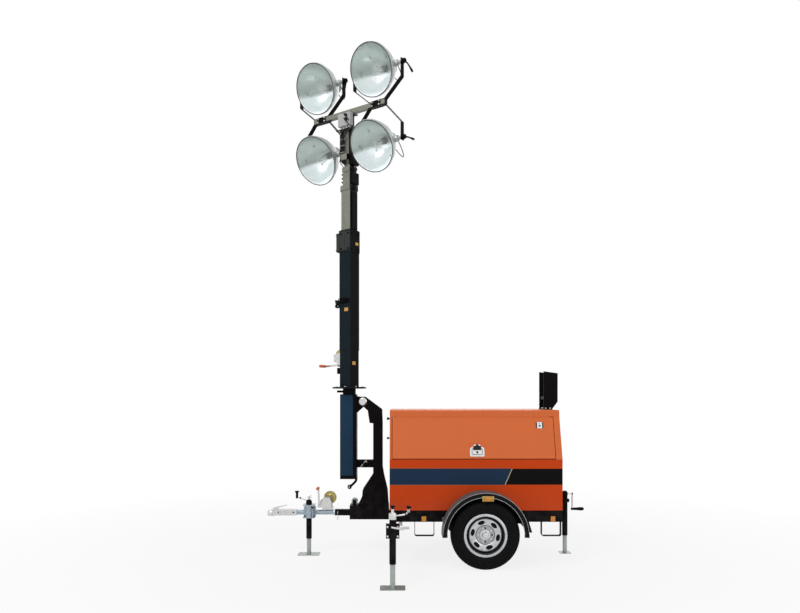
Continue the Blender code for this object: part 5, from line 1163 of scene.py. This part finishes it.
for level, hand in itertools.product(LAMP_HEIGHTS, LAMP_AXES):
    centre = lamp_frame(level, hand)[0]
    arm = centre + MAST_RIGHT * HUB_REACH
    hubs.append(revolve(HUB_BOSS, arm, MAST_RIGHT, 32))
    turn = math.radians(LEVER_TURNS[level + "_" + hand])
    out = -MAST_FRONT * math.cos(turn) + UPWARDS * math.sin(turn)
    start = arm + MAST_RIGHT * 0.024
    bend = start + out * 0.034 + MAST_RIGHT * 0.014
    lever = [start, start + out * 0.018 + MAST_RIGHT * 0.005, bend, bend + out * 0.055 + MAST_RIGHT * 0.006]
    levers.append(tube_along(smooth_line(lever, 26), 0.0075, 14))
    levers.append(revolve(LEVER_KNOB, bend + out * 0.05 + MAST_RIGHT * 0.0058, out, 24))
    clamps.append(revolve(DOME_LINE, centre - MAST_RIGHT * HUB_REACH, -MAST_RIGHT, 24))
add_crisp("clamp_bolts", joined(*clamps), bright_plate, "section_4")
add_crisp("crossbar_caps", joined(*caps), gasket_rubber, "section_4")
add_piece("yoke_hubs", joined(*hubs, *levers), black_enamel, "section_4")

# Lamp cables: each lamp's own, in black rubber, loops from the gland screwed into its neck to the boss on
# the trunnion.
LOOP_SAGS = {"upper": 0.05, "lower": 0.11}
CABLE_GLAND = [(0.0, 0.0), (0.0, 0.011), (0.01, 0.011), (0.014, 0.008), (0.014, 0.0)]
for level, hand in itertools.product(LAMP_HEIGHTS, LAMP_AXES):
    centre, ahead, rise = lamp_frame(level, hand)
    sag = LOOP_SAGS[level]
    route = [(-0.246, 0.0, -0.05), (-0.246, 0.004, -0.072), (-0.228, 0.06, -0.1 - sag * 0.6),
             (-0.15, 0.15, -0.09 - sag), (-0.06, 0.222, -0.07 - sag * 0.7), (-0.01, 0.243, -0.046),
             (0.0, 0.24, -0.026)]
    stations = [centre + ahead * a + MAST_RIGHT * b + rise * c for a, b, c in route]
    gland = revolve(CABLE_GLAND, centre - ahead * 0.246 - rise * 0.052, -rise, 20)
    loop = tube_along(smooth_line(stations, 90), 0.0042, 10)
    name = f"{level}_{hand}"
    add_piece("lamp_cable_" + name, joined(loop, gland), gasket_rubber, "lamp_" + name)


# Canopy fittings: bright pressed latch plates with black T handles in the leaning doors, a small lock
# plate, black rubber door seals in the gaps, and hinge leaves under the roof.
LEAN_LOW = (0.6, 1.025)
LEAN_HIGH = (0.46, 1.43)
LATCH_SHELL = [
    (-0.07, -0.06), (0.07, -0.06), (0.07, 0.026), (0.038, 0.04), (0.03, 0.062), (-0.03, 0.062),
    (-0.038, 0.04), (-0.07, 0.026),
]
LATCH_HANDLE = [
    (-0.0375, 0.005), (0.0375, 0.005), (0.0375, 0.038), (0.012, 0.046), (0.006, 0.064), (-0.006, 0.064),
    (-0.012, 0.046), (-0.0375, 0.038),
]
LATCH_TONGUE = [(-0.0075, -0.014), (0.0075, -0.014), (0.0, -0.032), (-0.001, -0.032)]
LATCH_EYE = [(0.0, 0.0), (0.0, 0.0105), (0.006, 0.0095), (0.008, 0.006), (0.008, 0.0)]
KEY_LINE = [(0.0, 0.0), (0.0, 0.009), (0.004, 0.0085), (0.005, 0.0)]
PIN_LINE = [(0.0, 0.0), (0.0, 0.004), (0.002, 0.0036), (0.003, 0.0)]
RIVET_LINE = [(0.0, 0.0), (0.0, 0.0036), (0.001, 0.0032), (0.0018, 0.0)]
HINGE_XS = (-0.24, 0.1, 0.477, 0.85, 1.12)


def lean_frame(side):
    """Rightwards, upwards along the leaning door and outwards from it, for the door at that side."""
    up = np.array((0.0, side * (LEAN_HIGH[0] - LEAN_LOW[0]), LEAN_HIGH[1] - LEAN_LOW[1]))
    up = up / np.linalg.norm(up)
    right = np.array((1.0 if side < 0 else -1.0, 0.0, 0.0))
    return right, up, np.cross(right, up)


def lean_spot(side, x, z, out=0.0):
    """The point of the leaning door's outer face at that length and height, moved outwards."""
    share = (z - LEAN_LOW[1]) / (LEAN_HIGH[1] - LEAN_LOW[1])
    y = side * (LEAN_LOW[0] + (LEAN_HIGH[0] - LEAN_LOW[0]) * share)
    return np.array((x, y, z)) + lean_frame(side)[2] * out


def oblong(left, low, right, high, radius):
    """An oblong's outline with rounded corners."""
    return rounded_outline([(left, low), (right, low), (right, high), (left, high)], radius)


def flat_piece(outline, place, frame, low, high, bevel):
    """An outline (rightwards, upwards) in a frame of three directions, as thick as low to high."""
    right, up, out = (np.asarray(way, float) for way in frame)
    rings = [(low, outline), (high - bevel, outline), (high, inset_line(outline, bevel))]
    points = [np.asarray(place) + line[:, 0, None] * right + line[:, 1, None] * up + level * out
              for level, line in rings]
    return capped(np.vstack(points), 3, len(outline))


latch_chrome = mottled("latch_chrome", (20.0, 20.0), ((0.72, 0.74, 0.75), (0.86, 0.87, 0.87)),
                       (0.12, 0.12), 0.65)
for side, hand in SIDES:
    lean = right, up, out = lean_frame(side)
    body = "door_" + hand
    place = lean_spot(side, 0.477, 1.105, 0.004)
    tray = oblong(-0.05, -0.042, 0.05, 0.018, 0.01)
    bright = joined(flat_piece(rounded_outline(LATCH_SHELL, 0.012), place, lean, 0.0, 0.0035, 0.002),
                    flat_piece(tray * 0.86, place, lean, 0.0, 0.0066, 0.002))
    add_crisp("latch_plate_" + hand, bright, latch_chrome, body)
    dark = joined(
        tube_along([place + x * right + y * up + 0.004 * out for x, y in [*tray, tray[0]]], 0.0022, 8),
        flat_piece(rounded_outline(LATCH_HANDLE, 0.004), place, lean, -0.002, 0.02, 0.003),
        revolve(LATCH_EYE, place - up * 0.018 + out * 0.006, out, 28),
        flat_piece(rounded_outline(LATCH_TONGUE, 0.002), place, lean, 0.006, 0.009, 0.001))
    add_crisp("latch_handle_" + hand, dark, gasket_rubber, body)
    lock = lean_spot(side, 1.094, 1.345)
    lock_plate = flat_piece(oblong(-0.026, -0.03, 0.026, 0.034, 0.005), lock, lean, 0.0, 0.0035, 0.001)
    add_crisp("lock_plate_" + hand, lock_plate, latch_chrome, body)
    keys = [flat_piece(oblong(x - 0.0045, -0.028, x + 0.0045, 0.03, 0.002), lock, lean, 0.0, 0.005, 0.001)
            for x in (-0.029, 0.029)]
    keys.append(revolve(KEY_LINE, lock - up * 0.004 + out * 0.0034, out, 24))
    keys.append(revolve(PIN_LINE, lock + up * 0.02 + out * 0.0034, out, 16))
    add_crisp("lock_cylinder_" + hand, joined(*keys), gasket_rubber, body)
    leaves = []
    for x in HINGE_XS:
        hinge = lean_spot(side, x, 1.4095)
        leaf = oblong(-0.03, -0.012, 0.03, 0.01, 0.003)
        leaves.append(flat_piece(leaf, hinge, lean, 0.0, 0.0018, 0.0006))
        leaves += [revolve(RIVET_LINE, hinge + right * shift + out * 0.0016, out, 14)
                   for shift in (-0.02, 0.02)]
    add_crisp("hinge_leaves_" + hand, joined(*leaves), orange_shell, body)
    seal = tube_along([(x, side * 0.5865, 1.0245) for x in (-0.338, 1.226)], 0.0022, 8)
    add_piece("door_seal_" + hand, seal, gasket_rubber, "chassis")

# Rear wall and control door: orange pressed louvres over the vent slots, a blank zinc data plate with its
# rivets, and the studs of the door's lift handle.
REAR_FRAME = (np.array((0.0, 1.0, 0.0)), UPWARDS, np.array((1.0, 0.0, 0.0)))
REARWARDS = (1, 0, 0)
LOUVRE_HALF = 0.15
LOUVRE_FACES = [(0, 1, 5, 4), (2, 3, 4, 5), (0, 4, 3), (1, 2, 5), (3, 2, 1, 0)]
PLATE_PLACE = (0.42, 0.9)
PLATE_RIVET = [(0.0, 0.0), (0.0, 0.003), (0.0012, 0.0026), (0.0018, 0.0)]
PULL_STUD = [(0.0, 0.0), (0.0, 0.013), (0.003, 0.013), (0.005, 0.009), (0.005, 0.0)]
louvres = []
for step in range(7):
    hood = [(-1, 0.0, 0.0), (1, 0.0, 0.0), (1, 0.01, 0.0), (-1, 0.01, 0.0), (-0.985, 0.002, 0.008),
            (0.985, 0.002, 0.008)]
    points = [(1.2938 + out, half * LOUVRE_HALF, 0.64 + step * 0.026 + up) for half, up, out in hood]
    louvres.append((points, LOUVRE_FACES))
add_crisp("rear_louvres", joined(*louvres), orange_shell, "chassis")
plate = oblong(-0.045, -0.03, 0.045, 0.03, 0.004)
plate = flat_piece(plate, (1.2942, *PLATE_PLACE), REAR_FRAME, 0.0, 0.0012, 0.0004)
rivets = [revolve(PLATE_RIVET, (1.2952, PLATE_PLACE[0] + a, PLATE_PLACE[1] + b), REARWARDS, 12)
          for a, b in itertools.product((-0.039, 0.039), (-0.024, 0.024))]
add_crisp("blank_data_plate", joined(plate, *rivets), bright_plate, "chassis")
pull = [revolve(PULL_STUD, (1.3075, 0.2, z), REARWARDS, 24) for z in (1.066, 1.134)]
add_crisp("control_latch", joined(*pull), bright_plate, "control_door")

# Small fittings: zinc screws hold the mast cradle's foot on the roof, and two black plastic knobs are
# bolted to the canopy's nose.
roof_screws = [bolt((x, y, 1.5065), UPWARDS, 0.015, x * 9)
               for x, y in itertools.product((1.228, 1.272), (-0.128, -0.06, 0.0, 0.06, 0.128))]
add_crisp("cradle_screws", joined(*roof_screws), bright_plate, "chassis")
nose_knobs = []
for z, radius in ((1.41, 0.014), (1.218, 0.011)):
    knob = [(0.0, 0.0), (0.0, radius * 0.5), (0.01, radius * 0.5), (0.012, radius), (0.026, radius),
            (0.03, radius * 0.6), (0.03, 0.0)]
    nose_knobs.append(revolve(knob, (-0.3655, -0.42, z), (-1, 0, 0), 28))
add_piece("nose_knobs", joined(*nose_knobs), gasket_rubber, "chassis")


# Fenders and side markers: pressed steel with a turned lip, black, with small chips and dusty on top; grey
# over the top strip and along the lip's inner edge, and pale beads on both edges of the lip, are painted
# highlight; a black liner behind each wheel; an amber lens on a zinc base bolted to the lip, blank amber
# reflectors on the rail.
FENDER_REACH = (0.359, 0.405)
LIP_Y = 0.812
MARKER_X = 0.553
MARKER_Z = 0.674
REFLECTOR_XS = (-0.036, 1.2025)
RAIL_Y = 0.595
LINER_REACH = 0.4
LINER_YS = (0.6012, 0.604)
FOOT_YS = (0.65, 0.81)
FOOT_LINE = [(0.874, 0.4235), (0.934, 0.458), (0.964, 0.361), (0.929, 0.361)]
worn = Finish("fender_enamel")
worn_patch = worn.noise(8.0)
axle_x, axle_z = worn.x - WHEEL_PLACE[0], worn.z - WHEEL_PLACE[2]
from_axle = axle_x * axle_x + axle_z * axle_z
# Painted highlight: grey over the fender's top strip and along the lip's inner edge.
top_strip_highlight = from_axle.above((FENDER_REACH[1] - 0.0045) ** 2, 0.001)
lip_edge_highlight = from_axle.below((FENDER_REACH[0] + 0.003) ** 2, 0.001)
lip_edge_highlight = worn.y.size().above(LIP_Y - 0.01, 0.001) * lip_edge_highlight
top_dust = top_strip_highlight * worn.y.size().below(LIP_Y - 0.003, 0.001) * (worn.z - 0.42).clamp() * 3.0
wear_and_highlight_color = worn_patch.mix(ENAMEL, (0.01, 0.009, 0.01))
wear_and_highlight_color = (top_strip_highlight * 0.55 + lip_edge_highlight * 0.6).clamp().mix(wear_and_highlight_color, (0.26, 0.27, 0.27))
wear_and_highlight_color = (top_dust.clamp() * (worn_patch * 0.5 + 0.35)).mix(wear_and_highlight_color, (0.11, 0.105, 0.115))
wear_and_highlight_color = worn.chips(0.57, 90.0).mix(wear_and_highlight_color, (0.15, 0.145, 0.14))
worn_grain = worn.bump(worn.noise(150.0, 1.0), 0.0001, 0.12)
repaint(worn.shade(wear_and_highlight_color, worn_patch * 0.2 + 0.34, normal=worn_grain, **{"Specular IOR Level": 0.1}),
        "fender_left", "fender_right")

amber = Finish("amber_lens")
ribs = (amber.x * 900.0).math("SINE")
amber_lens = amber.shade((ribs * 0.3 + 0.5).mix((0.62, 0.2, 0.012), (0.86, 0.36, 0.03)), 0.16,
                         normal=amber.bump(ribs, 0.0004, 0.5))


def arch_line(radius, degrees, count):
    """Points (x, z) of an arch round the axle that ends those degrees above its level, front and rear."""
    turn = np.linspace(math.radians(degrees), math.radians(180.0 - degrees), count)
    return np.stack([WHEEL_PLACE[0] + radius * np.cos(turn), WHEEL_PLACE[2] + radius * np.sin(turn)], axis=1)


def at_depth(line, y):
    """The line's (x, z) points at that y."""
    line = np.asarray(line, float)
    return np.stack([line[:, 0], np.full(len(line), y), line[:, 1]], axis=1)


def plate_across(outline, side, ys):
    """A flat plate with its outline in x and z, between two distances from the middle at that side."""
    return capped([at_depth(outline, y) for y in sorted(side * y for y in ys)], 2, len(outline))


for side, hand in SIDES:
    guards = joined(plate_across(arch_line(LINER_REACH, 12.0, 60), side, LINER_YS),
                    plate_across(FOOT_LINE, side, FOOT_YS))
    add_piece("fender_liner_" + hand, guards, black_enamel, "chassis")
    base = box_piece((MARKER_X, side * (LIP_Y + 0.003), MARKER_Z), (0.11, 0.01, 0.05), SQUARE, 0.003)
    screws = [bolt((MARKER_X + shift, side * (LIP_Y + 0.008), MARKER_Z), (0, side, 0), 0.009)
              for shift in (-0.047, 0.047)]
    add_piece("marker_base_" + hand, joined(base, *screws), yellow_plate, "chassis")
    lens = box_piece((MARKER_X, side * (LIP_Y + 0.015), MARKER_Z), (0.078, 0.02, 0.04), SQUARE, 0.006)
    add_piece("marker_lens_" + hand, lens, amber_lens, "chassis")
    # Pale beads along both edges of the lip: painted highlight.
    beads = [tube_along(at_depth(arch_line(radius, 2.0, 90), side * (LIP_Y - 0.001)), 0.002, 8)
             for radius in (FENDER_REACH[0] + 0.002, FENDER_REACH[1] - 0.004)]
    add_piece("fender_highlight_beads_" + hand, joined(*beads), lamp_housing, "chassis")
    reflectors = [box_piece((x, side * (RAIL_Y + 0.0015), 0.452), (0.044, 0.006, 0.05), SQUARE, 0.002)
                  for x in REFLECTOR_XS]
    add_piece("rail_reflectors_" + hand, joined(*reflectors), amber_lens, "chassis")


# Jacks and outriggers: the crank rods, swivel heads and locking handles are bright zinc on the black
# tubes, with black moulded knobs; the beam's locking pin sits on its bracket.
CRANK = 0.0074
JACK_Y = 1.4
JACK_XS = {"left": -0.328, "right": -0.258}
FRONT_JACK = np.array((-1.206, -0.075, 0.55))
REAR_JACK = np.array((1.454, 0.0, 0.615))
REAR_GRIP = 0.457
KNOB_LINE = [
    (-0.016, 0.0), (-0.016, 0.009), (-0.006, 0.011), (0.002, 0.02), (0.008, 0.0235), (0.013, 0.022),
    (0.016, 0.014), (0.017, 0.0),
]
PIN_KNOB = [(-0.016, 0.0), (-0.016, 0.017), (0.01, 0.019), (0.016, 0.012), (0.016, 0.0)]
CLAMP_KNOB = [(-0.018, 0.0), (-0.018, 0.018), (0.012, 0.02), (0.018, 0.012), (0.018, 0.0)]
GRIP_LINE = [
    (0.0, 0.0), (0.0, 0.0136), (0.02, 0.014), (0.045, 0.0165), (0.07, 0.0185), (0.088, 0.0165),
    (0.0935, 0.01), (0.095, 0.0),
]
HEAD_LINE = [
    (-0.056, 0.0), (-0.056, 0.0325), (-0.042, 0.0335), (-0.012, 0.0335), (-0.004, 0.03), (0.002, 0.015),
    (0.022, 0.012), (0.026, 0.0135), (0.03, 0.012), (0.032, 0.0),
]
knob_black = Finish("knob_plastic")
knob_haze = knob_black.noise(60.0)
knob_grain = knob_black.bump(knob_haze, 0.0002, 0.2)
knob_plastic = knob_black.shade((0.0045, 0.004, 0.0045), knob_haze * 0.2 + 0.45, normal=knob_grain,
                                **{"Specular IOR Level": 0.1})


def crank(origin, *spots):
    """A crank's rod from its head over the knee to the grip, one bent bar, by spots from the origin."""
    start, knee, end = (origin + np.array(spot, float) for spot in spots)
    share = np.linspace(0.0, 1.0, 7)[:, None]
    bend_in = knee + (start - knee) / np.linalg.norm(start - knee) * 0.016
    bend_out = knee + (end - knee) / np.linalg.norm(end - knee) * 0.016
    curve = (1 - share) ** 2 * bend_in + 2 * share * (1 - share) * knee + share ** 2 * bend_out
    return tube_along(np.vstack([start, curve, end]), CRANK, 12)


def bars(origin, side, *rows):
    """Straight round bars; a row is two spots from the origin, y outwards, then radius and sides."""
    outwards = (1, side, 1)
    return [tube_along([origin + np.multiply(spot, outwards) for spot in ends], radius, sides)
            for *ends, radius, sides in rows]


for side, hand in SIDES:
    body = "outrigger_" + hand
    origin = np.array((JACK_XS[hand], side * JACK_Y, 0.0))
    lever = [origin + (x, side * y, z) for x, y, z in ((-0.01, 0.036, 0.5235), (0.03, 0.04, 0.515),
                                                       (0.062, 0.036, 0.512))]
    bright = [
        revolve(HEAD_LINE, origin + (0, 0, 0.64), UPWARDS, 40),
        crank(origin, (0.02, 0, 0.6145), (0.11, 0, 0.626), (0.134, 0, 0.648)),
        *bars(origin, side, ((0.134, 0, 0.644), (0.134, 0, 0.672), 0.0128, 16)),
        tube_along(smooth_line(lever, 24), 0.0085, 12),
        revolve(PIN_KNOB, origin + (0.072, side * 0.022, 0.517), (0, side, 0), 24),
        *bars(origin, side, ((0.072, 0.03, 0.53), (0.064, 0.034, 0.548), 0.006, 10),
              ((0.08, 0.03, 0.505), (0.094, 0.03, 0.496), 0.005, 10)),
    ]
    add_piece("jack_head_" + hand, joined(*bright), bright_plate, body)
    knobs = [revolve(KNOB_LINE, origin + (0, 0, 0.686), UPWARDS, 32),
             revolve(KNOB_LINE, origin + (0.136, 0, 0.682), (0.2, 0, 1), 32)]
    add_piece("jack_knobs_" + hand, joined(*knobs), knob_plastic, body)
    edges = [box_piece(origin + (shift, -side * 0.03, 0.48), (0.006, 0.052, 0.124), SQUARE, 0.002)
             for shift in (-0.054, 0.054)]
    bolts = [bolt(origin + (shift, side * 0.004, z), (0, side, 0), 0.013)
             for shift, z in itertools.product((-0.043, 0.043), (0.44, 0.52))]
    add_piece("bracket_edges_" + hand, joined(*edges), black_enamel, body)
    add_piece("bracket_bolts_" + hand, joined(*bolts), bright_plate, body)

rods = [
    crank(FRONT_JACK, (-0.02, 0, 0.0067), (-0.09, 0, 0.03), (-0.124, 0, 0.04)),
    *bars(FRONT_JACK, 1, ((-0.024, 0, 0.0435), (0.026, 0, 0.0435), 0.0065, 12),
          ((0, 0, 0.016), (0, 0, 0.05), 0.0115, 16), ((0.006, 0, 0.04), (0.02, 0, 0.062), 0.005, 10)),
    crank(REAR_JACK, (0.02, 0, 0), (0.078, 0, 0), (0.078, 0, REAR_GRIP - REAR_JACK[2])),
]
add_piece("centre_jack_rods", joined(*rods), bright_plate, "chassis")
grips = [
    revolve(KNOB_LINE, FRONT_JACK + (-0.124, 0, 0.088), UPWARDS, 32),
    revolve(CLAMP_KNOB, REAR_JACK + (0.028, 0, -0.07), REARWARDS, 28),
    revolve(GRIP_LINE, (1.552, 0, REAR_GRIP), REARWARDS, 28),
]
add_piece("centre_jack_grips", joined(*grips), knob_plastic, "chassis")

# Drawbar: the clamp and coupling are bluish zinc with flanged edges and dark bolts; a safety pin on its
# loop hangs at the sleeve's mouth, and the mast's hook ends in an eye.
NEARWARDS = (0, -1, 0)
CLAMP_BOLTS = ((0.04, 0.487), (-0.04, 0.4))
COUPLING_BOLTS = (-1.53, -1.455, -1.375)
MOUTH_LINE = [(0.0, 0.0255), (0.0, 0.033), (0.01, 0.033), (0.01, 0.0255), (0.0, 0.0255)]
PIN_CHAIN = [
    (-0.912, -0.0435, 0.43), (-0.915, -0.04, 0.405), (-0.91, -0.036, 0.385), (-0.912, -0.0335, 0.372),
]
HOOK_LINE = [
    (-0.723, 0, 0.812), (-0.722, 0, 0.765), (-0.735, 0, 0.738), (-0.765, 0, 0.708), (-0.784, 0, 0.692),
]
STOP_KNEE = (-0.617, -0.0525, 0.967)


def oval(x, y, z, reaches, count):
    """A closed oval path in the plane across y, by its reaches along x and z."""
    turn = np.linspace(0.0, math.tau, count)
    across, upwards = reaches[0] * np.cos(turn), reaches[1] * np.sin(turn)
    return np.stack([x + across, np.full(count, y), z + upwards], axis=1)


cold_zinc = spangled_finish("cold_zinc", (0.42, 0.5, 0.56), 0.16, 0.62, 0.34, 90.0)
repaint(cold_zinc, "front_jack_clamp", "drawbar_tube")
front_x = FRONT_JACK[0]
flanges = [box_piece((front_x, -0.046, z), (0.124, 0.132, 0.007), SQUARE, 0.002) for z in (0.3795, 0.5075)]
flanges += [box_piece((front_x + shift, -0.1165, 0.4435), (0.008, 0.006, 0.124), SQUARE, 0.0015)
            for shift in (-0.04, 0.04)]
add_piece("clamp_flanges", joined(*flanges), cold_zinc, "chassis")
dark_bolts = [bolt((front_x + shift, -0.119, z), NEARWARDS, 0.013) for shift, z in CLAMP_BOLTS]
dark_bolts += [bolt((x, -0.0325, 0.4245), NEARWARDS, 0.013) for x in COUPLING_BOLTS]
add_piece("drawbar_bolts", joined(*dark_bolts), drum_iron, "chassis")
hanging = [
    revolve(MOUTH_LINE, (-0.9545, 0, 0.422), REARWARDS, 32),
    tube_along([(-0.912, -0.046, 0.43), (-0.912, -0.028, 0.43)], 0.0055, 12),
    tube_along(smooth_line(PIN_CHAIN, 20), 0.0022, 8),
    tube_along(oval(-0.912, -0.0335, 0.36, (0.011, 0.013), 40), 0.0022, 8),
]
add_piece("sleeve_pin", joined(*hanging), bright_plate, "chassis")
hook = tube_along(smooth_line(HOOK_LINE, 30), 0.0125)
add_piece("hook_bar", hook, black_enamel, "mast_base")
hook_eye = tube_along(oval(-0.792, 0.0, 0.686, (0.016, 0.018), 48), 0.0065, 12)
add_piece("hook_eye", hook_eye, black_enamel, "mast_base")
stop_pin = [tube_along([STOP_KNEE, (-0.676, -0.0525, 0.895)], 0.005, 12),
            tube_along([STOP_KNEE, (-0.61, -0.0525, 0.955), (-0.613, -0.0525, 0.943)], 0.004, 10)]
add_piece("stop_pin", joined(*stop_pin), bright_plate, "chassis")
